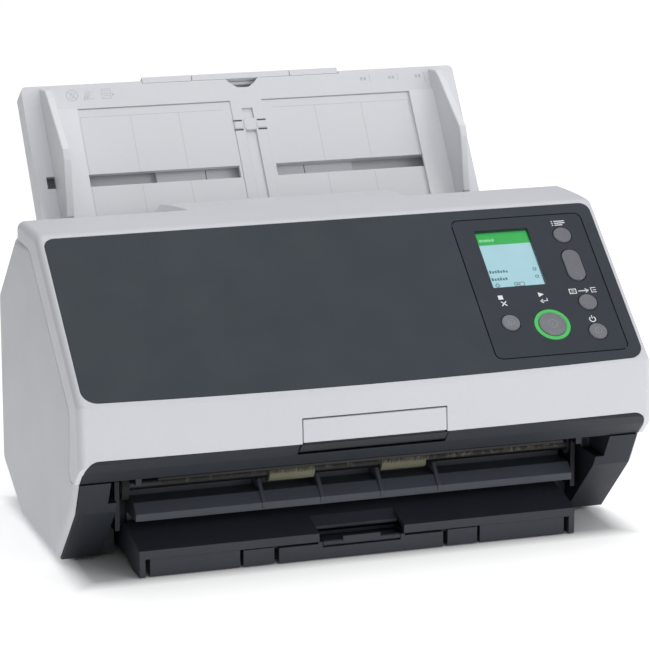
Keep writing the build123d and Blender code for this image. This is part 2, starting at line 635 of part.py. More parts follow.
# ---------------------------------------------------------------------------
# Stacker with two nested extensions and a flip-up stop
# ---------------------------------------------------------------------------
with BuildPart() as stacker_tray:
    prism([(-97.2, 14.2), (-80.0, 18.6), (-67.0, 20.8), (-65.0, 18.0), (-59.0, 14.5), (5.0, 14.5), (5.0, 12.0),
           (-60.0, 12.0), (-66.0, 15.5), (-80.0, 15.8), (-94.4, 12.2), (-94.4, 9.8), (-97.2, 9.8)],
          -STACK_HALF_W, STACK_HALF_W)
    for side in (-1, 1):
        a, b = sorted((side * (STACK_HALF_W - 3.0), side * STACK_HALF_W))
        prism([(-97.2, 0.6), (-97.2, 13.0), (-80.0, 17.5), (-66.0, 16.0), (-60.0, 13.0), (5.0, 13.0), (5.0, 6.0),
               (-70.0, 4.0), (-84.0, 0.6)], a, b)
        a, b = sorted((side * 64.0, side * 110.5))
        block(a, b, -96.5, -94.4, 0.6, 9.8)
        block(a, b, -96.5, -94.4, 9.6, 11.0)
        a, b = sorted((side * 64.0, side * 66.0))
        block(a, b, -96.0, 5.0, 4.0, 12.4)
        a, b = sorted((side * 62.8, side * 66.0))
        block(a, b, -60.0, 5.0, 4.0, 7.2)
    # finger notch in the lip
    block(-22.6, 22.6, -99, -80.5, 5, 25, mode=Mode.SUBTRACT)
    prism([(-79.0, 18.7), (-80.6, 18.4), (-86.4, 14.4), (-86.4, 12.9), (-79.0, 16.0)], -22.6, 22.6)
stacker_tray.part.label = "stacker_tray"
export_step(stacker_tray.part, "parts/stacker_tray.step")

with BuildPart() as stacker_extension_1:
    block(-EXT1_HALF_W, EXT1_HALF_W, -93.8, 0.0, 7.7, 9.5)
    for side in (-1, 1):
        a, b = sorted((side * 46.3, side * EXT1_HALF_W))
        block(a, b, -96.8, -93.8, 0.8, 9.2)
        block(a, b, -94.6, -92.0, 7.0, 9.2)
        a, b = sorted((side * 60.2, side * EXT1_HALF_W))
        block(a, b, -94.0, 0.0, 6.2, 9.5)
        a, b = sorted((side * 46.3, side * 48.5))
        block(a, b, -94.0, 0.0, 1.0, 9.5)
    block(-23.5, 23.5, -99, -80.0, 5, 25, mode=Mode.SUBTRACT)
stacker_extension_1.part.label = "stacker_extension_1"
export_step(stacker_extension_1.part, "parts/stacker_extension_1.step")

with BuildPart() as stacker_extension_2:
    block(-EXT2_HALF_W, EXT2_HALF_W, -94.4, -4.0, 5.0, 7.2)
    block(-EXT2_HALF_W, EXT2_HALF_W, -97.0, -94.0, 0.6, 6.6)
    block(-EXT2_HALF_W, EXT2_HALF_W, -90.0, -88.0, 1.0, 6.0)
    for side in (-1, 1):
        a, b = sorted((side * 22.9, side * EXT2_HALF_W))
        block(a, b, -97.0, -94.0, 0.6, 8.6)
        # ears that hold the stop's pins
        a, b = sorted((side * 20.8, side * 23.1))
        block(a, b, -96.9, -94.0, 6.2, 9.5)
    rod(STOP_PIVOT, 0.9, -22.0, -19.6)
    rod(STOP_PIVOT, 0.9, 19.6, 22.0)
stacker_extension_2.part.label = "stacker_extension_2"
export_step(stacker_extension_2.part, "parts/stacker_extension_2.step")

# Stop: lies back in the finger notch and stands up when its front lip is pressed
with BuildPart() as stacker_stopper:
    rod(STOP_PIVOT, 1.5, -STOP_HALF_W, STOP_HALF_W)
    block(-STOP_HALF_W, STOP_HALF_W, -95.4, -86.9, 7.6, 9.0)
    block(-STOP_LIP_HALF_W, STOP_LIP_HALF_W, -97.0, -95.4, 7.7, 11.6)
    rod(STOP_PIVOT, 0.9 + RUN, -22, -19.4, mode=Mode.SUBTRACT)
    rod(STOP_PIVOT, 0.9 + RUN, 19.4, 22, mode=Mode.SUBTRACT)
stacker_stopper.part.label = "stacker_stopper"
export_step(stacker_stopper.part, "parts/stacker_stopper.step")

# ---------------------------------------------------------------------------
# Top unit: outer shell
# ---------------------------------------------------------------------------
def insert_outline(grow):
    """Closed outline of the dark insert in the sloping face's own axes."""
    w = INSERT_HALF_W + grow
    ThreePointArc((-w, -INSERT_LEN - grow), (0, -INSERT_LEN - INSERT_BOW - grow), (w, -INSERT_LEN - grow))
    Polyline((w, -INSERT_LEN - grow), (w, grow), (-w, grow), (-w, -INSERT_LEN - grow))


def near(y, z):
    """Test for a side profile's vertex at (y, z)."""
    return lambda v: abs(v.X - y) < 0.1 and abs(v.Y - z) < 0.1


with BuildPart() as adf_void:
    prism([(4.0, 40.0), (4.0, 159.3), (-14.0, 160.1), (-29.0, 159.7), (-122.0, 81.5), (-122.0, 40.0)],
          -HALF_W + WALL, HALF_W - WALL)
    front_outline(WALL, Mode.INTERSECT)

with BuildPart() as adf_cover:
    with BuildSketch(Plane.YZ.offset(-HALF_W)) as shell_profile:
        with BuildLine():
            ThreePointArc((45.5, 157.8), (6.5, 162.0), (-32.9, 162.3))
            Polyline((-32.9, 162.3), (-127.0, 83.2), (-127.0, 67.2), (-117.0, 67.2), (-111.5, 60.5), (-104.2, 53.4),
                     (6.5, 53.4), (6.5, 152.8), (45.5, 152.8), (45.5, 157.8))
        make_face()
        fillet(shell_profile.vertices().filter_by(near(-32.9, 162.3)), 6.0)
    extrude(shell_profile.sketch, amount=2 * HALF_W)
    front_corner = FRONT_Y + HALF_W * HALF_W / (2 * PLAN_R)
    with BuildSketch(FRONT) as shell_plan:
        with BuildLine():
            ThreePointArc((-HALF_W, front_corner), (0, FRONT_Y), (HALF_W, front_corner))
            Polyline((HALF_W, front_corner), (HALF_W, 80), (-HALF_W, 80), (-HALF_W, front_corner))
        make_face()
    extrude(shell_plan.sketch, amount=160, both=True, mode=Mode.INTERSECT)
    # soft edges along both sides and down the front corners, then along the front
    side_edges = adf_cover.edges().filter_by(
        lambda e: abs(abs(e.center().X) - HALF_W) < 0.2 and e.center().Z > 100 and abs(e.center().Y - 6.5) > 0.1
        and abs(e.center().Z - 152.8) > 0.1 and abs(e.center().Y - 45.5) > 0.1)
    corner_edges = adf_cover.edges().filter_by(
        lambda e: abs(abs(e.center().X) - HALF_W) < 0.2 and e.center().Y < -110 and 68 < e.center().Z < 100)
    fillet(side_edges + corner_edges, 4.0)
    fillet(adf_cover.edges().filter_by(lambda e: abs(e.center().X) < 5 and e.length > 200 and 85 < e.center().Z < 100),
           2.6)
    # only the middle reaches back over the hopper's foot
    for side in (-1, 1):
        with BuildSketch(Plane.XZ.offset(-60)) as rear_cut:
            with BuildLine():
                Polyline((side * 57.1, 165), (side * 70.8, 150), (side * 160, 150), (side * 160, 170),
                         (side * 57.1, 170), close=True)
            make_face()
        extrude(rear_cut.sketch, amount=53.5, mode=Mode.SUBTRACT)
    add(adf_void.part, mode=Mode.SUBTRACT)
    prism([(3.9, 150.0), (43.0, 150.0), (43.0, 155.4), (3.9, 159.4)], -65.0, 65.0, mode=Mode.SUBTRACT)
    prism(SEAM + [(-104.2, 40.0), (6.5, 40.0)], -160, 160, mode=Mode.SUBTRACT)
    # room for the dark lip above the exit
    with BuildSketch(Plane.XZ.offset(70)) as lip_room:
        with Locations((0, FRONT_Z - 20)):
            RectangleRounded(294.0, 40.0, 7.0)
    extrude(lip_room.sketch, amount=70, mode=Mode.SUBTRACT)
    # seat of the dark insert
    with BuildSketch(PANEL.offset(-INSERT_T)) as insert_seat:
        with BuildLine():
            insert_outline(0.1)
        make_face()
        fillet(insert_seat.vertices().group_by(Axis.Y)[-1], INSERT_R_TOP)
        fillet(insert_seat.vertices().group_by(Axis.Y)[0], INSERT_R_BOTTOM)
    extrude(insert_seat.sketch, amount=10, mode=Mode.SUBTRACT)
    plate(PANEL, 69.5, 138.0, -93.5, -8.0, -12, 1, mode=Mode.SUBTRACT)
    # opening for the pull tab
    block(-37.9, 37.9, -130, -105, 60, 80.4, mode=Mode.SUBTRACT)
adf_cover.part.label = "adf_cover"
export_step(adf_cover.part, "parts/adf_cover.step")

with BuildPart() as front_panel:
    with BuildSketch(PANEL.offset(-INSERT_T)) as insert_face:
        with BuildLine():
            insert_outline(-0.05)
        make_face()
        fillet(insert_face.vertices().group_by(Axis.Y)[-1], INSERT_R_TOP)
        fillet(insert_face.vertices().group_by(Axis.Y)[0], INSERT_R_BOTTOM)
    extrude(insert_face.sketch, amount=INSERT_T)
    plate(PANEL, OP_X0 - 0.6, OP_X1 + 0.6, -OP_BOTTOM - 0.6, -OP_TOP + 0.6, -3, 1, mode=Mode.SUBTRACT, r=4.2)
front_panel.part.label = "front_panel"
export_step(front_panel.part, "parts/front_panel.step")

# Dark lip over the exit, with slots for the latch hooks
with BuildPart() as adf_fascia:
    with BuildSketch(Plane.XZ.offset(95)) as lip_front:
        with Locations((0, FRONT_Z - 20.2)):
            RectangleRounded(293.6, 40.0, 6.9)
    extrude(lip_front.sketch, amount=35)
    prism([(-130.0, 67.3), (-116.6, 67.3), (-111.4, 60.7), (-104.3, 53.6), (-102.0, 53.6), (-103.6, 56.1), (-109.5, 62.5),
           (-113.0, 67.3)], -150, 150, mode=Mode.INTERSECT)
    front_outline(0.15, Mode.INTERSECT)
    prism([(-104.3, 53.6), (-98.4, 52.85), (-98.4, 55.4), (-103.6, 56.1)], -131.2, 131.2)
    prism([(-104.3, 53.6), (-82.5, 50.6), (-82.5, 53.1), (-103.6, 56.1)], -125.6, 125.6)
    block(-38.9, 38.9, -125, -105.5, 60.6, 70, mode=Mode.SUBTRACT)
    for side in (-1, 1):
        a, b = sorted((side * 114.0, side * 119.0))
        block(a, b, -102.4, -88.0, 45, 60, mode=Mode.SUBTRACT)
adf_fascia.part.label = "adf_fascia"
export_step(adf_fascia.part, "parts/adf_fascia.step")

with BuildPart() as antistatic_brush:
    block(-107, 107, -101.6, -99.8, 48.4, 52.9)
antistatic_brush.part.label = "antistatic_brush"
export_step(antistatic_brush.part, "parts/antistatic_brush.step")

# ---------------------------------------------------------------------------
# Top unit: frame with the upper half of the paper path
# ---------------------------------------------------------------------------
with BuildPart() as adf_frame:
    prism(path_box(8, 122, PATH_GAP, 3.75), -PATH_HALF_W, PATH_HALF_W)
    prism(path_box(121, 136, PATH_GAP, 3.75), -64, 64)
    prism(path_box(50.3, 79.7, -5, 10), -110.4, 110.4, mode=Mode.SUBTRACT)
    for a, b in TYRE_X["feed"]:
        prism(path_box(90.0, 102.0, -5, 10), a - 1, b + 1, mode=Mode.SUBTRACT)
    for a, b in TYRE_X["pick"]:
        prism(path_box(118.0, 134.5, -5, 10), a - 1, b + 1, mode=Mode.SUBTRACT)
    prism(path_box(93.0, 99.0, 2.5, 10), -105, 105, mode=Mode.SUBTRACT)
    # side plates and hinge arms
    for side in (-1, 1):
        a, b = sorted((side * 110.5, side * PATH_HALF_W))
        prism([on_path(8, PATH_GAP), on_path(122, PATH_GAP), (6.2, 150.5), (-28.6, 150.2), (-99.8, 90.4), (-104.5, 76.0),
               (-103.0, 60.5), (-90.0, 57.0)], a, b)
        a, b = sorted((side * 124.0, side * 125.8))
        prism([(-47.0, 92.0), (-47.0, 72.0), (-38.0, 72.0), (12.0, 106.0), (30.0, 128.0), (35.0, 146.0), (36.0, 152.2),
               (18.0, 150.5)], a, b)
        rod((HINGE_Y, HINGE_Z), 4.0, a, b)
    # cross ribs
    prism(path_box(40, 43, 3.75, 25), -125.8, 125.8)
    prism(path_box(106, 109, 3.75, 18), -125.8, 125.8)
    # wall down behind the top unit, and the middle that reaches back
    for side in (-1, 1):
        a, b = sorted((side * 64.0, side * PATH_HALF_W))
        prism([(24.9, 112.6), (6.2, 152.6), (4.2, 152.6), (22.5, 112.9)], a, b)
        a, b = sorted((side * 62.0, side * 64.0))
        prism([on_path(121, PATH_GAP), on_path(136, PATH_GAP), (36.8, 130.0), (38.5, 141.0), (42.8, 149.3), (42.8, 155.0),
               (6.2, 156.5), (6.2, 140.0)], a, b)
    prism([on_path(136, PATH_GAP), (36.8, 130.0), (38.5, 141.0), (42.8, 149.3), (42.8, 155.2), (40.8, 155.2),
           (40.8, 149.8), (36.6, 141.6), (34.8, 130.0), on_path(134.5, PATH_GAP + 1.2)], -64, 64)
    # lugs for the brake roller, the feed idlers and the eject idlers
    for side in (-1, 1):
        a, b = sorted((side * 55.0, side * 57.5))
        prism(path_box(107, 132, 3.0, 12), a, b)
        a, b = sorted((side * 102.0, side * 104.0))
        prism(path_box(90, 102, 3.0, 9.5), a, b)
        for inner in (14.0, 44.0):
            a, b = sorted((side * inner, side * (inner + 2.0)))
            prism(path_box(-1.0, 14.0, 2.6, 9.0), a, b)
    rod(BRAKE_C, SHAFT_R + RUN, -60, 60, mode=Mode.SUBTRACT)
    rod(FEED_IDLER_C, 2.0 + RUN, -106, 106, mode=Mode.SUBTRACT)
    rod(EJECT_IDLER_C, 2.0 + RUN, -52, 52, mode=Mode.SUBTRACT)
    rod(LATCH_C, 2.5 + RUN, -114, 114, mode=Mode.SUBTRACT)
    rod((HINGE_Y, HINGE_Z), HINGE_R + RUN, -126, 126, mode=Mode.SUBTRACT)
adf_frame.part.label = "adf_frame"
export_step(adf_frame.part, "parts/adf_frame.step")

with BuildPart() as upper_sensor_unit:
    prism([on_path(50.8, 0.85), on_path(79.2, 0.85), on_path(79.2, 4.2), on_path(84, 4.2), on_path(84, 28),
           on_path(48, 28), on_path(48, 4.2), on_path(50.8, 4.2)], -110.0, 110.0)
    prism(path_box(53, 77, 0, 2.85), -108, 108, mode=Mode.SUBTRACT)
upper_sensor_unit.part.label = "upper_sensor_unit"
export_step(upper_sensor_unit.part, "parts/upper_sensor_unit.step")

with BuildPart() as upper_glass:
    prism(path_box(53.1, 76.9, 0.88, 2.85), -107.9, 107.9)
upper_glass.part.label = "upper_glass"
export_step(upper_glass.part, "parts/upper_glass.step")

with BuildPart() as brake_roller:
    rod(BRAKE_C, SHAFT_R, -58.5, 58.5)
    for a, b in TYRE_X["pick"]:
        rod(BRAKE_C, BRAKE_R, a, b)
brake_roller.part.label = "brake_roller"
export_step(brake_roller.part, "parts/brake_roller.step")

with BuildPart() as feed_idlers:
    rod(FEED_IDLER_C, 2.0, -104.5, 104.5)
    for a, b in TYRE_X["feed"]:
        rod(FEED_IDLER_C, IDLER_R, a + 1, b - 1)
feed_idlers.part.label = "feed_idlers"
export_step(feed_idlers.part, "parts/feed_idlers.step")

with BuildPart() as eject_idlers:
    rod(EJECT_IDLER_C, 2.0, -48.0, 48.0)
    for a, b in TYRE_X["eject"]:
        rod(EJECT_IDLER_C, IDLER_R, a, b)
eject_idlers.part.label = "eject_idlers"
export_step(eject_idlers.part, "parts/eject_idlers.step")

# ---------------------------------------------------------------------------
# Pull tab and the latch shaft it turns
# ---------------------------------------------------------------------------
with BuildPart() as open_tab:
    block(-37.4, 37.4, -125, -100, 68.2, 79.6)
    front_outline(0.0, Mode.INTERSECT)
    front_outline(2.2, Mode.SUBTRACT)
open_tab.part.label = "open_tab"
export_step(open_tab.part, "parts/open_tab.step")

with BuildPart() as tab_grip:
    prism([(-116.9, 66.9), (-113.2, 62.9), (-110.6, 61.5), (-109.8, 62.9), (-112.0, 64.3), (-114.6, 66.9)], -38.3, 38.3)
    prism([(-116.2, 66.6), (-116.2, 68.2), (-114.9, 68.2), (-114.9, 66.6)], -37.0, 37.0)
tab_grip.part.label = "tab_grip"
export_step(tab_grip.part, "parts/tab_grip.step")

with BuildPart() as latch_shaft:
    rod(LATCH_C, 2.5, -123.0, 123.0)
    for side in (-1, 1):
        a, b = sorted((side * 115.0, side * 118.0))
        rod(LATCH_C, 4.5, a, b)
        prism([(-101.0, 66.0), (-99.5, 49.0), (-92.5, 49.0), (-92.5, 51.0), (-96.0, 52.5), (-93.5, 66.0)], a, b)
latch_shaft.part.label = "latch_shaft"
export_step(latch_shaft.part, "parts/latch_shaft.step")

# ---------------------------------------------------------------------------
# Operator panel with its screen, light ring and buttons
# ---------------------------------------------------------------------------
with BuildPart() as operator_panel:
    plate(PANEL, OP_X0, OP_X1, -OP_BOTTOM, -OP_TOP, -2.0, 0, r=3.6)
    plate(PANEL, LCD_X0, LCD_X1, -LCD_BOTTOM, -LCD_TOP, -3, 1, mode=Mode.SUBTRACT, r=0.8)
    for x, y in (MENU, MANUAL, POWER, STOP):
        disc(PANEL, x, -y, BUTTON_R + 0.4, -3, 1, mode=Mode.SUBTRACT)
    disc(PANEL, SCAN[0], -SCAN[1], 9.7, -3, 1, mode=Mode.SUBTRACT)
    pill(PANEL, ROCKER[0], -ROCKER[1], 21.0, 10.6, -3, 1, mode=Mode.SUBTRACT)
operator_panel.part.label = "operator_panel"
export_step(operator_panel.part, "parts/operator_panel.step")

with BuildPart() as lcd_window:
    plate(PANEL, LCD_X0 + 0.1, LCD_X1 - 0.1, -LCD_BOTTOM + 0.1, -LCD_TOP - 0.1, -1.8, -0.5, r=0.7)
lcd_window.part.label = "lcd_window"
export_step(lcd_window.part, "parts/lcd_window.step")

with BuildPart() as lcd_display:
    plate(PANEL, 76.0, 111.5, -54.0, -11.0, -6.0, -2.1)
lcd_display.part.label = "lcd_display"
export_step(lcd_display.part, "parts/lcd_display.step")

with BuildPart() as scan_ring:
    disc(PANEL, SCAN[0], -SCAN[1], 9.5, -3.0, 0.1)
    disc(PANEL, SCAN[0], -SCAN[1], 7.55, -4.0, 1.0, mode=Mode.SUBTRACT)
scan_ring.part.label = "scan_ring"
export_step(scan_ring.part, "parts/scan_ring.step")

with BuildPart() as panel_board:
    plate(PANEL, 70.0, 137.5, -93.0, -8.5, -10.6, -9.0)
    plate(PANEL, 72.5, 84.0, -90.0, -84.0, -9.0, -7.0)
panel_board.part.label = "panel_board"
export_step(panel_board.part, "parts/panel_board.step")

with BuildPart() as menu_button:
    disc(PANEL, MENU[0], -MENU[1], BUTTON_R, -3.2, 0.7)
    fillet(menu_button.faces().filter_by(Axis(PANEL.origin, PANEL.z_dir)).sort_by(Axis.Z)[-1].edges(), 0.6)
    disc(PANEL, MENU[0], -MENU[1], BUTTON_R + 1.3, -3.2, -2.2)
    disc(PANEL, MENU[0], -MENU[1], 1.5, -8.0, -3.0)
menu_button.part.label = "menu_button"
export_step(menu_button.part, "parts/menu_button.step")

with BuildPart() as manual_feed_button:
    disc(PANEL, MANUAL[0], -MANUAL[1], BUTTON_R, -3.2, 0.7)
    fillet(manual_feed_button.faces().filter_by(Axis(PANEL.origin, PANEL.z_dir)).sort_by(Axis.Z)[-1].edges(), 0.6)
    disc(PANEL, MANUAL[0], -MANUAL[1], BUTTON_R + 1.3, -3.2, -2.2)
    disc(PANEL, MANUAL[0], -MANUAL[1], 1.5, -8.0, -3.0)
manual_feed_button.part.label = "manual_feed_button"
export_step(manual_feed_button.part, "parts/manual_feed_button.step")

with BuildPart() as power_button:
    disc(PANEL, POWER[0], -POWER[1], BUTTON_R, -3.2, 0.7)
    fillet(power_button.faces().filter_by(Axis(PANEL.origin, PANEL.z_dir)).sort_by(Axis.Z)[-1].edges(), 0.6)
    disc(PANEL, POWER[0], -POWER[1], BUTTON_R + 1.3, -3.2, -2.2)
    disc(PANEL, POWER[0], -POWER[1], 1.5, -8.0, -3.0)
power_button.part.label = "power_button"
export_step(power_button.part, "parts/power_button.step")

with BuildPart() as stop_button:
    disc(PANEL, STOP[0], -STOP[1], BUTTON_R, -3.2, 0.7)
    fillet(stop_button.faces().filter_by(Axis(PANEL.origin, PANEL.z_dir)).sort_by(Axis.Z)[-1].edges(), 0.6)
    disc(PANEL, STOP[0], -STOP[1], BUTTON_R + 1.3, -3.2, -2.2)
    disc(PANEL, STOP[0], -STOP[1], 1.5, -8.0, -3.0)
stop_button.part.label = "stop_button"
export_step(stop_button.part, "parts/stop_button.step")

with BuildPart() as scan_button:
    disc(PANEL, SCAN[0], -SCAN[1], SCAN_R, -4.2, 0.7)
    fillet(scan_button.faces().filter_by(Axis(PANEL.origin, PANEL.z_dir)).sort_by(Axis.Z)[-1].edges(), 0.6)
    disc(PANEL, SCAN[0], -SCAN[1], SCAN_R + 1.1, -4.2, -3.2)
    disc(PANEL, SCAN[0], -SCAN[1], 1.5, -8.0, -4.0)
scan_button.part.label = "scan_button"
export_step(scan_button.part, "parts/scan_button.step")

with BuildPart() as select_rocker:
    pill(PANEL, ROCKER[0], -ROCKER[1], 20.0, 9.8, -4.0, 0.7)
    fillet(select_rocker.faces().filter_by(Axis(PANEL.origin, PANEL.z_dir)).sort_by(Axis.Z)[-1].edges(), 0.6)
    pill(PANEL, ROCKER[0], -ROCKER[1], 22.0, 11.8, -4.0, -3.2)
    disc(PANEL, ROCKER[0], -ROCKER[1] - 6.0, 1.2, -8.0, -3.9)
    disc(PANEL, ROCKER[0], -ROCKER[1] + 6.0, 1.2, -8.0, -3.9)
select_rocker.part.label = "select_rocker"
export_step(select_rocker.part, "parts/select_rocker.step")
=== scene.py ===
import math
import random

import bmesh
import bpy
from mathutils import Matrix, Vector

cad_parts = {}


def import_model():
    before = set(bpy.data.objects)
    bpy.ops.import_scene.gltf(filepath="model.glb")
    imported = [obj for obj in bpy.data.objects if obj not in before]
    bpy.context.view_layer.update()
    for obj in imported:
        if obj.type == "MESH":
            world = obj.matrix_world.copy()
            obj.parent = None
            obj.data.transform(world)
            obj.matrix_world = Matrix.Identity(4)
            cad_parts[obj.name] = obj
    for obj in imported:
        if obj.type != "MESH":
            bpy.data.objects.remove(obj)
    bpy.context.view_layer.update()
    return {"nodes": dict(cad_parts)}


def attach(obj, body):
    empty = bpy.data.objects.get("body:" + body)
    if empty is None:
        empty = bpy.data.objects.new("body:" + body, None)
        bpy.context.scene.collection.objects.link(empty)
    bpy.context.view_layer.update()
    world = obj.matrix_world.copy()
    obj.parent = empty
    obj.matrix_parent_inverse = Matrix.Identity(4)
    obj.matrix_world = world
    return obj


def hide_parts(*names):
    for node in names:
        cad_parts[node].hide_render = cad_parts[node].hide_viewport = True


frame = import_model()
nodes = frame["nodes"]
random.seed(7)
MM = 0.001

# ---------------------------------------------------------------------------
# Shared planes of the design, in millimetres
# ---------------------------------------------------------------------------
S, C = math.sin(math.radians(40.05)), math.cos(math.radians(40.05))
CS, CC = math.sin(math.radians(55.0)), math.cos(math.radians(55.0))


def panel(x, y, z):
    """Point on the sloping face: x across, y up the slope, z out of it."""
    return Vector((x, -34.8 + C * y - S * z, 160.7 + S * y + C * z)) * MM


def chute(x, y, z):
    """Point on the hopper's face: x across, y up it, z out of it."""
    return Vector((x, 107.0 + CC * y - CS * z, 214.0 + CS * y + CC * z)) * MM


def world(x, y, z):
    return Vector((x, y, z)) * MM


def front(x, y, z):
    """Point on the light front: x across, y up from its lower edge, z out of it."""
    bow = x * x / (2 * 4160.0)
    return Vector((x, -117.2 + bow + y * math.tan(math.radians(3.6)) - z, 67.5 + y)) * MM


# ---------------------------------------------------------------------------
# Camera
# ---------------------------------------------------------------------------
def add_camera():
    yaw, pitch = math.radians(18.57), math.radians(13.68)
    fwd = Vector((math.sin(yaw) * math.cos(pitch), math.cos(yaw) * math.cos(pitch), -math.sin(pitch)))
    right = Vector((math.cos(yaw), -math.sin(yaw), 0.0))
    up = right.cross(fwd)
    cam = bpy.data.cameras.new("camera")
    cam.sensor_width = 36.0
    cam.lens = 167.92
    cam.clip_start, cam.clip_end = 0.05, 60.0
    obj = bpy.data.objects.new("camera", cam)
    m = Matrix((right, up, -fwd)).transposed().to_4x4()
    m.translation = Vector((-0.4826, -1.4750, 0.4754))
    obj.matrix_world = m
    bpy.context.scene.collection.objects.link(obj)
    bpy.context.scene.camera = obj


add_camera()


# ---------------------------------------------------------------------------
# Materials
# ---------------------------------------------------------------------------
def lin(r, g, b):
    """sRGB 0..255 to linear."""
    out = []
    for v in (r, g, b):
        v /= 255.0
        out.append(v / 12.92 if v <= 0.04045 else ((v + 0.055) / 1.055) ** 2.4)
    return tuple(out)


class Nodes:
    """Short calls for building a material's node tree."""

    def __init__(self, name):
        self.m = bpy.data.materials.new(name)
        self.m.use_nodes = True
        self.t = self.m.node_tree
        self.t.nodes.clear()
        self.out = self.t.nodes.new("ShaderNodeOutputMaterial")
        self.tc = self.t.nodes.new("ShaderNodeTexCoord").outputs["Object"]

    def new(self, kind, **values):
        n = self.t.nodes.new(kind)
        for k, v in values.items():
            setattr(n, k, v)
        return n

    def link(self, a, b):
        self.t.links.new(a, b)

    def noise(self, scale, detail=2.0, rough=0.55, vec=None):
        n = self.new("ShaderNodeTexNoise")
        n.inputs["Scale"].default_value = scale
        n.inputs["Detail"].default_value = detail
        n.inputs["Roughness"].default_value = rough
        self.link(vec or self.tc, n.inputs["Vector"])
        return n.outputs["Fac"]

    def voronoi(self, scale, vec=None):
        n = self.new("ShaderNodeTexVoronoi")
        n.inputs["Scale"].default_value = scale
        self.link(vec or self.tc, n.inputs["Vector"])
        return n.outputs["Distance"]

    def stretch(self, sx, sy, sz, rot=(0, 0, 0)):
        n = self.new("ShaderNodeMapping")
        n.inputs["Scale"].default_value = (sx, sy, sz)
        n.inputs["Rotation"].default_value = rot
        self.link(self.tc, n.inputs["Vector"])
        return n.outputs["Vector"]

    def range(self, value, lo, hi, out_lo, out_hi):
        n = self.new("ShaderNodeMapRange")
        n.inputs["From Min"].default_value = lo
        n.inputs["From Max"].default_value = hi
        n.inputs["To Min"].default_value = out_lo
        n.inputs["To Max"].default_value = out_hi
        self.link(value, n.inputs["Value"])
        return n.outputs["Result"]

    def math(self, op, a, b=0.0):
        n = self.new("ShaderNodeMath", operation=op)
        for i, v in enumerate((a, b)):
            if isinstance(v, (int, float)):
                n.inputs[i].default_value = v
            else:
                self.link(v, n.inputs[i])
        return n.outputs[0]

    def mix(self, fac, a, b, blend="MIX"):
        n = self.new("ShaderNodeMix", data_type="RGBA", blend_type=blend)
        sockets = {"f": n.inputs[0], "a": n.inputs[6], "b": n.inputs[7]}
        for key, v in (("f", fac), ("a", a), ("b", b)):
            if isinstance(v, (int, float)):
                sockets[key].default_value = v
            elif isinstance(v, tuple):
                sockets[key].default_value = (*v[:3], 1.0)
            else:
                self.link(v, sockets[key])
        return n.outputs[2]

    def bump(self, height, distance, strength=1.0, normal=None):
        n = self.new("ShaderNodeBump")
        n.inputs["Distance"].default_value = distance
        n.inputs["Strength"].default_value = strength
        self.link(height, n.inputs["Height"])
        if normal is not None:
            self.link(normal, n.inputs["Normal"])
        return n.outputs["Normal"]

    def round_edge(self, radius):
        n = self.new("ShaderNodeBevel", samples=4)
        n.inputs["Radius"].default_value = radius
        return n.outputs["Normal"]

    def edge_mask(self, radius, lo=0.05, hi=0.3):
        """0 on a flat face, 1 on a convex or concave edge."""
        n = self.new("ShaderNodeBevel", samples=4)
        n.inputs["Radius"].default_value = radius
        g = self.new("ShaderNodeNewGeometry")
        d = self.new("ShaderNodeVectorMath", operation="DOT_PRODUCT")
        self.link(n.outputs["Normal"], d.inputs[0])
        self.link(g.outputs["Normal"], d.inputs[1])
        return self.range(self.math("SUBTRACT", 1.0, d.outputs["Value"]), lo * 0.3, hi, 0.0, 1.0)

    def principled(self, **values):
        b = self.new("ShaderNodeBsdfPrincipled")
        for k, v in values.items():
            s = b.inputs[k.replace("_", " ")]
            if isinstance(v, (int, float)):
                s.default_value = v
            elif isinstance(v, tuple):
                s.default_value = (*v[:3], 1.0) if len(s.default_value) == 4 else v
            else:
                self.link(v, s)
        self.link(b.outputs[0], self.out.inputs[0])
        return b


def plastic(name, rgb, rough=0.48, grain=0.00006, scale=1500.0, mottle=0.05, edge=0.0005, wear=0.0, wear_rgb=None,
            sheen=0.0, spec=0.5):
    """Moulded plastic with a fine spark-eroded grain, faint colour drift and softened edges."""
    n = Nodes(name)
    drift = n.noise(9.0, 3.0)
    speck = n.noise(420.0, 2.0)
    lo = tuple(c * (1 - mottle) for c in rgb)
    hi = tuple(min(1.0, c * (1 + mottle)) for c in rgb)
    colour = n.mix(n.range(drift, 0.3, 0.7, 0.0, 1.0), lo, hi)
    colour = n.mix(n.range(speck, 0.35, 0.65, 0.0, 0.3), colour, tuple(c * (1 - mottle * 1.6) for c in rgb))
    if wear > 0:
        mask = n.math("MULTIPLY", n.edge_mask(edge * 1.6), n.range(n.noise(150.0, 4.0), 0.35, 0.75, 0.2, 1.0))
        colour = n.mix(n.math("MULTIPLY", mask, wear), colour, wear_rgb or tuple(min(1.0, c * 1.8 + 0.02) for c in rgb))
    pits = n.noise(scale, 3.0, 0.65)
    fine = n.voronoi(scale * 0.8)
    height = n.math("ADD", pits, n.math("MULTIPLY", fine, 0.35))
    normal = n.bump(height, grain, 0.8, n.round_edge(edge) if edge > 0 else None)
    roughness = n.math("ADD", n.range(n.noise(45.0, 3.0), 0.3, 0.7, rough - 0.05, rough + 0.05),
                       n.range(pits, 0.3, 0.7, -0.02, 0.04))
    n.principled(Base_Color=colour, Roughness=roughness, Normal=normal, Specular_IOR_Level=spec)
    return n.m


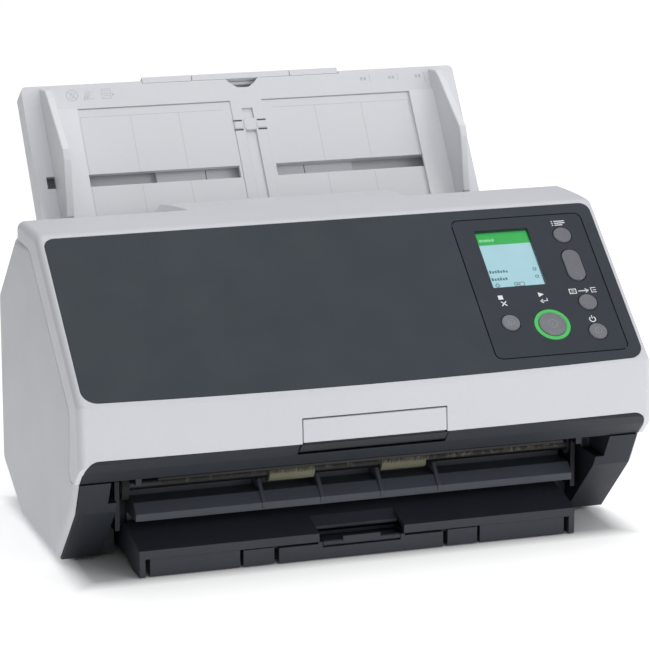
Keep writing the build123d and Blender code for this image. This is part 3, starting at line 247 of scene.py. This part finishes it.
def rubber(name, rgb, ribs=0.0, rough=0.78):
    """Ground rubber with dust in its pores, and fine ribs along X where it grips paper."""
    n = Nodes(name)
    dust = n.noise(60.0, 4.0)
    colour = n.mix(n.range(dust, 0.45, 0.75, 0.0, 0.55), rgb, tuple(min(1.0, c * 1.6 + 0.02) for c in rgb))
    h = n.noise(1800.0, 3.0, 0.7)
    if ribs > 0:
        w = n.new("ShaderNodeTexWave", bands_direction="X")
        w.inputs["Scale"].default_value = ribs
        n.link(n.tc, w.inputs["Vector"])
        h = n.math("ADD", n.math("MULTIPLY", h, 0.4), w.outputs["Fac"])
    n.principled(Base_Color=colour, Roughness=n.range(dust, 0.3, 0.7, rough - 0.06, rough + 0.08),
                 Normal=n.bump(h, 0.00012, 0.7, n.round_edge(0.0004)))
    return n.m


def metal(name, rgb, rough=0.35, brush=(1, 1, 1), spangle=0.0):
    """Plated or ground steel: brushed streaks, faint spangle and finger-dulled patches."""
    n = Nodes(name)
    streak = n.noise(220.0, 4.0, 0.6, n.stretch(*brush))
    colour = n.mix(n.range(streak, 0.3, 0.7, 0.0, 1.0), tuple(c * 0.86 for c in rgb), tuple(min(1, c * 1.08) for c in rgb))
    if spangle > 0:
        colour = n.mix(n.range(n.voronoi(160.0), 0.1, 0.6, 0.0, spangle), colour, tuple(c * 0.7 for c in rgb))
    r = n.math("ADD", n.range(streak, 0.3, 0.7, rough - 0.08, rough + 0.08), n.range(n.noise(16.0, 3.0), 0.4, 0.7, 0.0, 0.12))
    n.principled(Base_Color=colour, Metallic=1.0, Roughness=r, Normal=n.bump(streak, 0.00003, 0.5, n.round_edge(0.0003)))
    return n.m


def board(name):
    """Green solder mask over faint copper tracks."""
    n = Nodes(name)
    w = n.new("ShaderNodeTexBrick")
    w.inputs["Scale"].default_value = 160.0
    w.inputs["Mortar Size"].default_value = 0.03
    w.inputs["Color1"].default_value = (0.01, 0.09, 0.03, 1)
    w.inputs["Color2"].default_value = (0.012, 0.12, 0.04, 1)
    w.inputs["Mortar"].default_value = (0.03, 0.2, 0.07, 1)
    n.link(n.stretch(1, 1, 1, (math.radians(90), 0, 0)), w.inputs["Vector"])
    n.principled(Base_Color=w.outputs["Color"], Roughness=n.range(n.noise(80.0), 0.3, 0.7, 0.25, 0.4),
                 Normal=n.bump(w.outputs["Fac"], 0.00005, 0.6))
    return n.m


def clear(name, tint=(0.97, 1.0, 0.99), share=0.9):
    """Thin clear pane: mostly seen through, with a sharp reflection and a trace of dust."""
    n = Nodes(name)
    t = n.new("ShaderNodeBsdfTransparent")
    t.inputs["Color"].default_value = (*tint, 1.0)
    g = n.new("ShaderNodeBsdfGlossy")
    n.link(n.range(n.noise(60.0, 4.0), 0.4, 0.7, 0.03, 0.09), g.inputs["Roughness"])
    f = n.new("ShaderNodeFresnel")
    f.inputs["IOR"].default_value = 1.45
    s = n.new("ShaderNodeMixShader")
    n.link(n.math("MULTIPLY", f.outputs[0], share), s.inputs[0])
    n.link(t.outputs[0], s.inputs[1])
    n.link(g.outputs[0], s.inputs[2])
    n.link(s.outputs[0], n.out.inputs[0])
    return n.m


def lit(name, rgb, strength, rough=0.35, variation=0.06, base=0.25, spec=0.1):
    """Lit translucent part: colour from inside, slightly uneven, under a satin skin."""
    n = Nodes(name)
    v = n.noise(120.0, 3.0)
    c = n.mix(n.range(v, 0.3, 0.7, 0.0, 1.0), tuple(k * (1 - variation) for k in rgb), tuple(min(1, k * (1 + variation)) for k in rgb))
    n.principled(Base_Color=tuple(k * base for k in rgb), Roughness=rough, Emission_Color=c, Emission_Strength=strength, Specular_IOR_Level=spec,
                 Normal=n.bump(n.noise(1500.0), 0.00003, 0.4, n.round_edge(0.0003)))
    return n.m


LIGHT = (0.660, 0.665, 0.705)
M = {
    "light": plastic("light_shell", LIGHT, rough=0.46, grain=0.00005, mottle=0.02, edge=0.0006),
    # side and rear covers: the light shell's plastic made darker, painted shade of the faces turned from the light
    "side": plastic("side_shell", (0.600, 0.610, 0.645), rough=0.5, grain=0.00006, mottle=0.02, edge=0.0006),
    "chute": plastic("chute_plastic", (0.735, 0.742, 0.775), rough=0.5, grain=0.00004, mottle=0.02, edge=0.0005),
    "guide": plastic("guide_light", (0.790, 0.800, 0.830), rough=0.42, grain=0.00003, mottle=0.02, edge=0.0005),
    "dark": plastic("dark_shell", (0.0150, 0.0190, 0.0265), rough=0.48, grain=0.00006, mottle=0.10, edge=0.0006, wear=0.22, spec=0.35),
    "pan": plastic("pan_plastic", (0.040, 0.044, 0.053), rough=0.6, grain=0.00008, scale=1100, mottle=0.12, edge=0.0006, wear=0.25),
    "insert": plastic("insert_plastic", (0.0270, 0.0365, 0.0480), rough=0.46, grain=0.000035, mottle=0.035, edge=0.0004, wear=0.12, spec=0.3),
    "panel": plastic("panel_plastic", (0.0245, 0.0320, 0.0435), rough=0.5, grain=0.00005, mottle=0.04, edge=0.0004, wear=0.15, spec=0.3),
    "button": plastic("button_grey", (0.185, 0.192, 0.214), rough=0.62, grain=0.00020, scale=800, mottle=0.22, edge=0.0003),
    "black": plastic("guide_plastic", (0.018, 0.019, 0.023), rough=0.42, grain=0.00003, mottle=0.12, edge=0.0005, wear=0.35),
    "case": plastic("sensor_case", (0.012, 0.012, 0.014), rough=0.5, grain=0.00004, mottle=0.15, edge=0.0005),
    "stacker": plastic("stacker_plastic", (0.0260, 0.0310, 0.0430), rough=0.5, grain=0.00008, scale=1200, mottle=0.10, edge=0.0006, wear=0.35),
    "grip": plastic("grip_plastic", (0.016, 0.019, 0.026), rough=0.45, grain=0.00006, mottle=0.1, edge=0.0005, wear=0.3),
    "inlet": plastic("inlet_plastic", (0.012, 0.012, 0.013), rough=0.4, grain=0.00004, mottle=0.1),
    "acetal": plastic("acetal", (0.055, 0.058, 0.062), rough=0.4, grain=0.00002, mottle=0.08),
    "ledge": plastic("ledge_plastic", (0.058, 0.067, 0.084), rough=0.48, grain=0.00006, mottle=0.10, edge=0.0006, wear=0.30),
    "coated": metal("coated_steel", (0.035, 0.037, 0.042), 0.45, (1, 0.06, 1)),
    "idler": plastic("idler_plastic", (0.022, 0.022, 0.026), rough=0.36, grain=0.00002, mottle=0.1),
    "foot": rubber("foot_rubber", (0.018, 0.018, 0.019)),
    "tyre": rubber("roller_rubber", (0.10, 0.11, 0.13), ribs=500.0),
    "feed": rubber("feed_rubber", (0.11, 0.115, 0.105), ribs=500.0),
    "eject": rubber("eject_rubber", lin(116, 115, 94), ribs=420.0, rough=0.62),
    "brake": rubber("brake_rubber", (0.16, 0.16, 0.14), ribs=500.0),
    "belt": rubber("belt_rubber", (0.012, 0.012, 0.012)),
    "ground": metal("pin_steel", (0.66, 0.66, 0.67), 0.24, (0.05, 1, 1)),
    "black_steel": metal("black_steel", (0.050, 0.052, 0.056), 0.42, (0.05, 1, 1)),
    "screw": metal("screw_steel", (0.16, 0.16, 0.17), 0.35, (1, 1, 1)),
    "motor": metal("motor_steel", (0.42, 0.43, 0.44), 0.34, (0.08, 1, 1)),
    "tin": metal("port_metal", (0.66, 0.66, 0.66), 0.28, (1, 0.1, 1)),
    "pcb": board("pcb_green"),
    "scan_glass": clear("scan_glass", (0.90, 0.97, 0.95)),
    "lcd_glass": clear("lcd_glass", (0.97, 0.99, 0.99), 0.12),
    "lcd_back": lit("lcd_back", (0.25, 0.45, 0.5), 0.15, rough=0.3),
    "lcd_body": lit("lcd_body", lin(184, 226, 238), 0.74, rough=0.3, variation=0.03, base=0.1),
    "lcd_head": lit("lcd_head", lin(24, 174, 68), 0.85, rough=0.3, variation=0.05, base=0.1),
    "lcd_ink": lit("lcd_ink", lin(88, 132, 140), 0.55, rough=0.4, base=0.1),
    "lcd_pale": lit("lcd_pale", lin(150, 225, 170), 0.8, rough=0.4, base=0.1),
    "ring": lit("ring_green", lin(72, 196, 96), 0.50, rough=0.3, variation=0.12, base=0.4, spec=0.4),
    "print": plastic("print_white", (0.80, 0.82, 0.84), rough=0.5, grain=0.00002, mottle=0.03, edge=0.0),
    # darker grey for the moulded lines and relief on the hopper: painted shade
    "relief_shade": plastic("chute_relief_painted_shade", (0.54, 0.55, 0.58), rough=0.55, grain=0.00003, mottle=0.03, edge=0.0),
    # flat grey strip in place of the shadow under a raised edge: painted shadow
    "shadow": plastic("painted_shadow_grey", (0.33, 0.335, 0.35), rough=0.6, grain=0.00003, mottle=0.05, edge=0.0),
    # dark grey laid over openings in place of their shade: painted shade
    "slit_shade": plastic("slit_painted_shade", (0.075, 0.077, 0.083), rough=0.6, grain=0.00004, mottle=0.08, edge=0.0),
    "mid": plastic("mid_grey", (0.30, 0.305, 0.32), rough=0.55, grain=0.00004, mottle=0.05, edge=0.0003),
}


def fibre_material():
    """Conductive fibres: dark brown with a few golden glints."""
    n = Nodes("brush_fibre")
    v = n.noise(330.0, 3.0, 0.7, n.stretch(1, 1, 0.35))
    c = n.mix(n.range(v, 0.55, 0.68, 0.0, 1.0), (0.022, 0.018, 0.014), (0.24, 0.20, 0.13))
    n.principled(Base_Color=c, Roughness=0.42, Metallic=0.2, Specular_IOR_Level=0.35)
    return n.m


M["fibre"] = fibre_material()

ASSIGN = {
    "light": ["adf_cover", "open_tab"],
    # the side and rear covers get the darker copy of the light shell: painted shade
    "side": ["right_side_cover", "left_side_cover", "rear_cover"],
    "chute": ["paper_chute", "chute_back_cover", "chute_extension_1", "chute_extension_2"],
    "guide": ["right_guide", "left_guide"],
    "dark": ["front_fascia", "adf_fascia"],
    "ledge": ["exit_guide"],
    "pan": ["bottom_pan"],
    "insert": ["front_panel"],
    "panel": ["operator_panel"],
    "button": ["menu_button", "manual_feed_button", "power_button", "stop_button", "scan_button", "select_rocker"],
    "black": ["lower_paper_guide", "adf_frame"],
    "case": ["lower_sensor_unit", "upper_sensor_unit"],
    "stacker": ["stacker_tray", "stacker_extension_1", "stacker_extension_2", "stacker_stopper"],
    "grip": ["tab_grip"],
    "inlet": ["power_inlet"],
    "acetal": ["shaft_bushes", "guide_pinion"],
    "idler": ["feed_idlers", "eject_idlers"],
    "foot": ["rubber_feet"],
    "tyre": ["pick_roller"],
    "feed": ["feed_tyres"],
    "eject": ["eject_tyres"],
    "brake": ["brake_roller"],
    "belt": ["drive_belt"],
    "coated": ["chassis_frame"],
    "ground": ["hinge_pins", "feed_shaft", "motor_pulley"],
    "black_steel": ["eject_shaft", "latch_shaft"],
    "screw": ["case_screws"],
    "motor": ["drive_motor"],
    "tin": ["data_ports"],
    "pcb": ["main_board", "panel_board"],
    "scan_glass": ["lower_glass", "upper_glass"],
    "lcd_glass": ["lcd_window"],
    "lcd_back": ["lcd_display"],
    "ring": ["scan_ring"],
    "fibre": ["antistatic_brush"],
}
for key, names in ASSIGN.items():
    for name in names:
        o = nodes[name]
        o.data.materials.clear()
        o.data.materials.append(M[key])


# ---------------------------------------------------------------------------
# Small shapes built on a plane of the design
# ---------------------------------------------------------------------------
class Shape:
    """Gathers plates, discs, rings and bars, given in a plane's own millimetres, into one object."""

    def __init__(self, name, place):
        self.name, self.place = name, place
        self.bm = bmesh.new()
        self.slots = []

    def index(self, key):
        if key not in self.slots:
            self.slots.append(key)
        return self.slots.index(key)

    def loft(self, rings, key, caps=True, closed=True):
        """Joins rings of plane points; each ring is a list of (x, y, z)."""
        k = self.index(key)
        rows = [[self.bm.verts.new(self.place(*p)) for p in r] for r in rings]
        n = len(rows[0])
        for a, b in zip(rows, rows[1:]):
            for i in range(n if closed else n - 1):
                j = (i + 1) % n
                f = self.bm.faces.new((a[i], a[j], b[j], b[i]))
                f.material_index = k
                f.smooth = True
        if caps:
            for r in (rows[0][::-1], rows[-1]):
                f = self.bm.faces.new(r)
                f.material_index = k

    def prism(self, pts, z0, z1, key, chamfer=0.0):
        if chamfer <= 0:
            self.loft([[(x, y, z0) for x, y in pts], [(x, y, z1) for x, y in pts]], key)
            return
        cx = sum(p[0] for p in pts) / len(pts)
        cy = sum(p[1] for p in pts) / len(pts)
        far = max(math.hypot(x - cx, y - cy) for x, y in pts)
        k = 1 - chamfer / far
        top = [(cx + (x - cx) * k, cy + (y - cy) * k) for x, y in pts]
        self.loft([[(x, y, z0) for x, y in pts], [(x, y, z1 - chamfer) for x, y in pts], [(x, y, z1) for x, y in top]], key)

    def plate(self, x0, x1, y0, y1, z0, z1, key, r=0.0, chamfer=0.0, steps=5):
        self.prism(rounded(x0, x1, y0, y1, r, steps), z0, z1, key, chamfer)

    def disc(self, x, y, r, z0, z1, key, n=36, chamfer=0.0):
        self.prism([(x + r * math.cos(2 * math.pi * i / n), y + r * math.sin(2 * math.pi * i / n)) for i in range(n)],
                   z0, z1, key, chamfer)

    def ring(self, x, y, r0, r1, z0, z1, key, n=40, a0=0.0, a1=360.0):
        """Flat ring, or the part of one from angle a0 to a1."""
        k = self.index(key)
        full = abs(a1 - a0) >= 359.9
        count = n if full else n + 1
        rows = []
        for i in range(count):
            a = math.radians(a0 + (a1 - a0) * i / n)
            c, s = math.cos(a), math.sin(a)
            rows.append([self.bm.verts.new(self.place(x + rr * c, y + rr * s, zz))
                         for rr, zz in ((r0, z0), (r1, z0), (r1, z1), (r0, z1))])
        for i in range(n):
            a, b = rows[i], rows[(i + 1) % count]
            for j in range(4):
                m = (j + 1) % 4
                f = self.bm.faces.new((a[j], a[m], b[m], b[j]))
                f.material_index = k
        if not full:
            for r in (rows[0][::-1], rows[-1]):
                f = self.bm.faces.new(r)
                f.material_index = k

    def bar(self, x0, y0, x1, y1, width, z0, z1, key):
        """Straight bar with rounded ends."""
        a = math.atan2(y1 - y0, x1 - x0)
        h = width / 2
        pts = []
        for i in range(7):
            t = a - math.pi / 2 + math.pi * i / 6
            pts.append((x1 + h * math.cos(t), y1 + h * math.sin(t)))
        for i in range(7):
            t = a + math.pi / 2 + math.pi * i / 6
            pts.append((x0 + h * math.cos(t), y0 + h * math.sin(t)))
        self.prism(pts, z0, z1, key)

    def path(self, pts, width, z0, z1, key, closed=False):
        """Bar along several points, one flat-sided run with mitred corners."""
        n = len(pts)
        h = width / 2
        left, right = [], []
        for i, p in enumerate(pts):
            a = pts[(i - 1) % n] if closed or i else None
            b = pts[(i + 1) % n] if closed or i < n - 1 else None
            dirs = []
            if a is not None:
                dirs.append(Vector((p[0] - a[0], p[1] - a[1])).normalized())
            if b is not None:
                dirs.append(Vector((b[0] - p[0], b[1] - p[1])).normalized())
            d = sum(dirs, Vector((0, 0))).normalized()
            k = h / max(0.4, d.dot(dirs[0]))
            left.append((p[0] - d.y * k, p[1] + d.x * k))
            right.append((p[0] + d.y * k, p[1] - d.x * k))
        rings = [[(*l, z0), (*r, z0), (*r, z1), (*l, z1)] for l, r in zip(left, right)]
        if closed:
            rings.append(rings[0])
            k = self.index(key)
            rows = [[self.bm.verts.new(self.place(*p)) for p in r] for r in rings[:-1]]
            for i in range(len(rows)):
                a, b = rows[i], rows[(i + 1) % len(rows)]
                for j in range(4):
                    m = (j + 1) % 4
                    f = self.bm.faces.new((a[j], a[m], b[m], b[j]))
                    f.material_index = k
        else:
            self.loft(rings, key)

    def done(self, body, replaces=()):
        bmesh.ops.recalc_face_normals(self.bm, faces=self.bm.faces)
        mesh = bpy.data.meshes.new(self.name)
        self.bm.to_mesh(mesh)
        self.bm.free()
        for k in self.slots:
            mesh.materials.append(M[k])
        obj = bpy.data.objects.new(self.name, mesh)
        bpy.context.scene.collection.objects.link(obj)
        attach(obj, body)
        if replaces:
            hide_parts(*replaces)
        return obj


def rounded(x0, x1, y0, y1, r, steps=5):
    """Corner points of a rounded rectangle."""
    if r <= 0:
        return [(x0, y0), (x1, y0), (x1, y1), (x0, y1)]
    pts = []
    for cx, cy, a in ((x1 - r, y0 + r, -90), (x1 - r, y1 - r, 0), (x0 + r, y1 - r, 90), (x0 + r, y0 + r, 180)):
        for i in range(steps + 1):
            t = math.radians(a + 90.0 * i / steps)
            pts.append((cx + r * math.cos(t), cy + r * math.sin(t)))
    return pts


# ---------------------------------------------------------------------------
# Screen picture: header, rows and status signs, with no words
# ---------------------------------------------------------------------------
def build_screen():
    s = Shape("screen_picture", panel)
    x0, x1, top, bottom = 79.3, 107.9, -14.6, -50.4
    s.plate(x0 - 0.3, x1 + 0.3, bottom - 0.3, top + 0.3, -2.08, -2.02, "lcd_body")
    s.plate(x0 - 0.3, x1 + 0.3, top - 7.4, top + 0.3, -2.02, -1.99, "lcd_head")
    z0, z1 = -1.99, -1.96
    # header mark
    for i in range(5):
        s.plate(x0 + 1.6 + i * 1.7, x0 + 2.8 + i * 1.7, top - 5.2, top - 3.4 - (i % 2) * 0.4, z0, z1, "lcd_pale")
    # two rows of marks with a figure each at the right
    z0, z1 = -2.02, -1.99
    for row, count in ((-25.6, 7), (-30.4, 6)):
        for i in range(count):
            h = (1.9, 1.4, 1.6, 1.9, 1.4, 1.7, 1.2)[i]
            s.plate(x0 + 1.2 + i * 1.5, x0 + 2.2 + i * 1.5, top + row, top + row + h, z0, z1, "lcd_ink")
        s.ring(x1 - 2.4, top + row + 1.0, 0.6, 1.05, z0, z1, "lcd_ink", n=16)
    # status signs along the foot
    y = bottom + 2.2
    s.path([(x0 + 3.2, y + 1.4), (x0 + 2.0, y), (x0 + 3.2, y - 1.0), (x0 + 4.4, y)], 0.4, z0, z1, "lcd_ink", closed=True)
    s.path(rounded(x0 + 12.6, x0 + 18.0, y - 1.1, y + 1.2, 0.5, 3), 0.35, z0, z1, "lcd_ink", closed=True)
    s.plate(x0 + 13.4, x0 + 15.8, y - 0.3, y + 0.4, z0, z1, "lcd_ink")
    s.done("top_unit")
    # black sleeve lining the walls of the screen's opening, in place of the shade on them: painted shade
    f = Shape("screen_opening_painted_shade", panel)
    f.path([(78.85, -50.85), (108.35, -50.85), (108.35, -13.85), (78.85, -13.85)], 0.08, -2.06, -0.03, "case", closed=True)
    f.done("top_unit")


build_screen()


# ---------------------------------------------------------------------------
# Printed signs beside the buttons, in place of words
# ---------------------------------------------------------------------------
def build_signs():
    s = Shape("panel_signs", panel)
    z0, z1 = 0.0, 0.03
    # list sign over the top button
    for i in range(3):
        y = -11.0 - i * 1.25
        s.disc(122.9, y, 0.38, z0, z1, "print", n=12)
        s.bar(124.3, y, 129.8 - (i == 2) * 1.6, y, 0.6, z0, z1, "print")
    # single sheet going in at a slot, over the third button
    x, y = 126.4, -56.9
    s.path([(x - 7.4, y - 1.3), (x - 3.8, y - 1.3), (x - 3.8, y + 1.5), (x - 7.4, y + 1.5)], 0.45, z0, z1, "print", closed=True)
    s.bar(x - 6.3, y + 0.5, x - 4.9, y + 0.5, 0.3, z0, z1, "print")
    s.bar(x - 6.3, y - 0.4, x - 4.9, y - 0.4, 0.3, z0, z1, "print")
    s.bar(x - 2.3, y, x + 2.6, y, 0.55, z0, z1, "print")
    s.path([(x + 1.2, y + 1.3), (x + 2.9, y), (x + 1.2, y - 1.3)], 0.55, z0, z1, "print")
    s.path([(x + 7.4, y + 1.5), (x + 4.6, y + 1.5), (x + 4.6, y - 1.3), (x + 7.4, y - 1.3)], 0.45, z0, z1, "print")
    s.bar(x + 5.6, y, x + 7.2, y, 0.4, z0, z1, "print")
    # ring with a stroke over the fourth button
    x, y = 126.0, -75.2
    s.ring(x, y, 1.3, 1.85, z0, z1, "print", n=24, a0=125, a1=415)
    s.bar(x, y + 0.5, x, y + 2.2, 0.5, z0, z1, "print")
    # square, then a cross, over the stop button
    x, y = 80.8, -57.2
    s.plate(x - 1.3, x + 1.3, y - 1.3, y + 1.3, z0, z1, "print")
    x, y = 81.6, -61.2
    s.bar(x - 1.2, y - 1.2, x + 1.2, y + 1.2, 0.6, z0, z1, "print")
    s.bar(x - 1.2, y + 1.2, x + 1.2, y - 1.2, 0.6, z0, z1, "print")
    # start triangle, then a return arrow, over the large button
    x, y = 102.9, -57.2
    s.prism([(x - 1.3, y - 1.5), (x + 1.7, y), (x - 1.3, y + 1.5)], z0, z1, "print")
    x, y = 103.4, -61.2
    s.path([(x + 2.0, y + 1.5), (x + 2.0, y - 0.2), (x - 1.4, y - 0.2)], 0.5, z0, z1, "print")
    s.path([(x - 0.3, y + 1.0), (x - 1.7, y - 0.2), (x - 0.3, y - 1.4)], 0.5, z0, z1, "print")
    s.done("top_unit")
    # shallow signs sunk in the two lower buttons and the large one
    for name, body, x, y, r in (("power_sign", "power", 126.6, -83.0, 1.9), ("stop_sign", "stop", 81.6, -73.5, 1.8),
                                ("scan_sign", "scan", 103.5, -76.5, 2.6)):
        b = Shape(name, panel)
        b.ring(x, y, r - 0.35, r, 0.69, 0.73, "mid", n=28)
        b.bar(x, y - r * 0.35, x, y + r * 0.35, 0.4, 0.69, 0.73, "mid")
        b.done(body)


build_signs()


# ---------------------------------------------------------------------------
# Hopper face: fine panel lines, clip, size ticks and handling signs
# ---------------------------------------------------------------------------
def build_hopper_details():
    s = Shape("hopper_lines", chute)
    for side in (-1, 1):
        # edge of the sunk field and fine joint lines, as darker grey bars: painted shade in the grooves
        s.bar(side * 14, -19.6, side * 94, -19.6, 0.22, -0.5, -0.47, "relief_shade")
        for x in (39.0, 66.0, 94.0):
            s.bar(side * x, -19.8, side * x, -53.0, 0.22, -0.5, -0.47, "relief_shade")
            s.bar(side * x, -61.0, side * x, -98.0, 0.22, -0.5, -0.47, "relief_shade")
        # shadow line under the raised head of the field
        s.plate(min(side * 9.4, side * 108.2), max(side * 9.4, side * 108.2), -15.1, -14.75, -0.5, -0.46, "shadow")
    # size ticks on the right, one per sheet width, in darker grey as painted shade of the moulded relief
    for x, h in ((74.0, 3.6), (90.6, 3.6), (106.4, 5.4)):
        s.bar(x, -4.0 - h, x, -3.2, 0.3, 0.0, 0.03, "relief_shade")
        s.plate(x - 5.6, x - 4.2, -6.6, -4.6, 0.0, 0.03, "relief_shade", r=0.3)
        s.plate(x - 3.6, x - 2.2, -6.6, -4.6, 0.0, 0.03, "relief_shade", r=0.3)
    # three handling signs on the left: no creased sheets, fan them, square them; darker grey as painted shade of the
    # moulded relief
    x, y = -96.4, -6.4
    s.ring(x, y, 3.0, 3.4, 0.0, 0.03, "relief_shade", n=32)
    s.bar(x - 2.2, y + 2.2, x + 2.2, y - 2.2, 0.4, 0.0, 0.03, "relief_shade")
    s.path([(x - 1.6, y - 1.4), (x + 0.2, y - 1.8), (x + 1.6, y + 1.0), (x - 0.2, y + 1.6)], 0.28, 0.0, 0.03, "relief_shade", closed=True)
    x = -87.4
    for i in range(4):
        s.path([(x - 2.6 + i * 0.9, y - 2.6 + i * 0.25), (x - 1.2 + i * 0.9, y + 2.6 - i * 0.2)], 0.26, 0.0, 0.03, "relief_shade")
    s.bar(x - 3.0, y - 3.0, x + 2.8, y - 2.4, 0.3, 0.0, 0.03, "relief_shade")
    x = -77.2
    s.path([(x - 2.6, y - 2.8), (x + 2.2, y - 2.8), (x + 2.2, y + 2.8), (x - 2.6, y + 2.8)], 0.3, 0.0, 0.03, "relief_shade", closed=True)
    for dy in (-1.2, 0.2, 1.6):
        s.bar(x - 1.6, y + dy, x + 1.2, y + dy, 0.26, 0.0, 0.03, "relief_shade")
    s.prism([(x + 3.0, y - 1.4), (x + 4.6, y - 0.6), (x + 3.0, y + 0.2)], 0.0, 0.03, "relief_shade")
    s.done("base")
    # clip across the middle groove: a light tongue between four slits, drawn as dark flat plates: painted shade in the
    # openings
    c = Shape("hopper_clip", chute)
    c.plate(-3.6, 3.6, -33.0, -25.6, -1.2, 0.55, "chute", r=1.8, chamfer=0.5)
    for side in (-1, 1):
        for y in (-26.9, -32.4):
            a, b = sorted((side * 4.2, side * 9.4))
            c.plate(a, b, y - 0.45, y + 0.45, 0.0, 0.02, "slit_shade", r=0.35)
        a, b = sorted((side * 3.8, side * 9.0))
        c.plate(a, b, -31.6, -27.7, 0.0, 0.28, "chute", r=0.6, chamfer=0.15)
    c.done("base")


build_hopper_details()


# ---------------------------------------------------------------------------
# Pull mark on the release tab
# ---------------------------------------------------------------------------
def build_pull_mark():
    s = Shape("tab_mark", front)
    s.path([(1.2, 7.9), (2.9, 4.5), (4.6, 7.9)], 0.3, -0.02, 0.05, "mid")
    s.done("pull_tab")


build_pull_mark()


# ---------------------------------------------------------------------------
# Brush over the exit: a clamped strip of fine fibres
# ---------------------------------------------------------------------------
def build_brush():
    s = Shape("exit_brush", world)
    s.loft([[(x, -101.6, 52.9), (x, -99.8, 52.9), (x, -99.8, 51.2), (x, -101.6, 51.2)] for x in (-107.0, 107.0)], "case")
    rng = random.Random(21)
    count = 1700
    for i in range(count):
        x = -106.6 + 213.2 * (i + rng.random()) / count
        y = -100.7 + rng.uniform(-0.5, 0.5)
        w = rng.uniform(0.05, 0.10)
        length = rng.uniform(2.1, 2.95)
        lean, sag = rng.uniform(-1.3, 1.3), rng.uniform(-0.35, 0.25)
        curl = rng.uniform(-0.5, 0.5)
        rings = []
        for t in (0.0, 0.35, 0.7, 1.0):
            cx = x + lean * t * t + curl * math.sin(3.0 * t)
            cy = y + sag * t
            cz = 51.4 - length * t
            k = w * (1.0 - 0.4 * t)
            rings.append([(cx - k, cy - k * 0.5, cz), (cx + k, cy - k * 0.5, cz), (cx, cy + k * 0.8, cz)])
        s.loft(rings, "fibre")
    s.done("top_unit", replaces=("antistatic_brush",))


build_brush()


# ---------------------------------------------------------------------------
# Floor and light
# ---------------------------------------------------------------------------
def build_stage():
    mesh = bpy.data.meshes.new("floor")
    mesh.from_pydata([(-9, -5, 0), (9, -5, 0), (9, 14, 0), (-9, 14, 0)], [], [(0, 1, 2, 3)])
    floor = bpy.data.objects.new("floor", mesh)
    bpy.context.scene.collection.objects.link(floor)
    n = Nodes("floor_pale")
    c = n.mix(n.range(n.noise(1.5, 3.0), 0.3, 0.7, 0.0, 1.0), (0.90, 0.90, 0.90), (0.93, 0.93, 0.93))
    # glows like a light table, except under the machine itself, fading in over 14 mm at its edges: painted shadow under
    # the base
    xyz = n.new("ShaderNodeSeparateXYZ")
    n.link(n.tc, xyz.inputs[0])
    ax = n.math("SUBTRACT", n.math("ABSOLUTE", xyz.outputs["X"]), 0.138)
    ay = n.math("SUBTRACT", n.math("ABSOLUTE", n.math("ADD", xyz.outputs["Y"], 0.022)), 0.072)
    glow_with_painted_shadow = n.range(n.math("MAXIMUM", ax, ay), 0.0, 0.014, 0.0, 0.46)
    n.principled(Base_Color=c, Roughness=0.75, Specular_IOR_Level=0.2, Normal=n.bump(n.noise(700.0), 0.0001, 0.3),
                 Emission_Color=(1.0, 1.0, 1.0), Emission_Strength=glow_with_painted_shadow)
    mesh.materials.append(n.m)
    # dark flag off to the left, which keeps that side in shade
    mesh = bpy.data.meshes.new("flag")
    mesh.from_pydata([(-0.62, -0.8, 0), (-0.62, 1.0, 0), (-0.62, 1.0, 0.50), (-0.62, -0.8, 0.50)], [], [(0, 1, 2, 3)])
    flag = bpy.data.objects.new("flag", mesh)
    bpy.context.scene.collection.objects.link(flag)
    flag.visible_camera = False
    n = Nodes("flag_cloth")
    c = n.mix(n.range(n.noise(12.0, 3.0), 0.3, 0.7, 0.0, 1.0), (0.05, 0.05, 0.05), (0.07, 0.07, 0.07))
    n.principled(Base_Color=c, Roughness=0.9)
    mesh.materials.append(n.m)


def area(name, pos, target, size, power, colour=(1, 1, 1)):
    light = bpy.data.lights.new(name, "AREA")
    light.shape = "RECTANGLE"
    light.size, light.size_y = size
    light.energy = power
    light.color = colour
    obj = bpy.data.objects.new(name, light)
    obj.location = pos
    obj.rotation_euler = (Vector(target) - Vector(pos)).to_track_quat("-Z", "Y").to_euler()
    bpy.context.scene.collection.objects.link(obj)


build_stage()
w = bpy.data.worlds.new("studio")
bpy.context.scene.world = w
w.use_nodes = True
bg = w.node_tree.nodes["Background"]
bg.inputs["Color"].default_value = (0.97, 0.985, 1.0, 1.0)
bg.inputs["Strength"].default_value = 0.47
area("overhead", (0.0, 0.0, 2.2), (0.0, 0.0, 0.1), (2.4, 2.0), 21.0)
area("key_right", (1.5, -1.9, 1.1), (0.0, 0.0, 0.1), (1.3, 1.2), 12.0)
area("front_fill", (-0.2, -2.6, 0.7), (0.0, 0.0, 0.1), (1.6, 1.0), 3.0)
view = bpy.context.scene.view_settings
view.view_transform = "Standard"
view.look = "None"
view.exposure = 0.0
view.gamma = 1.0
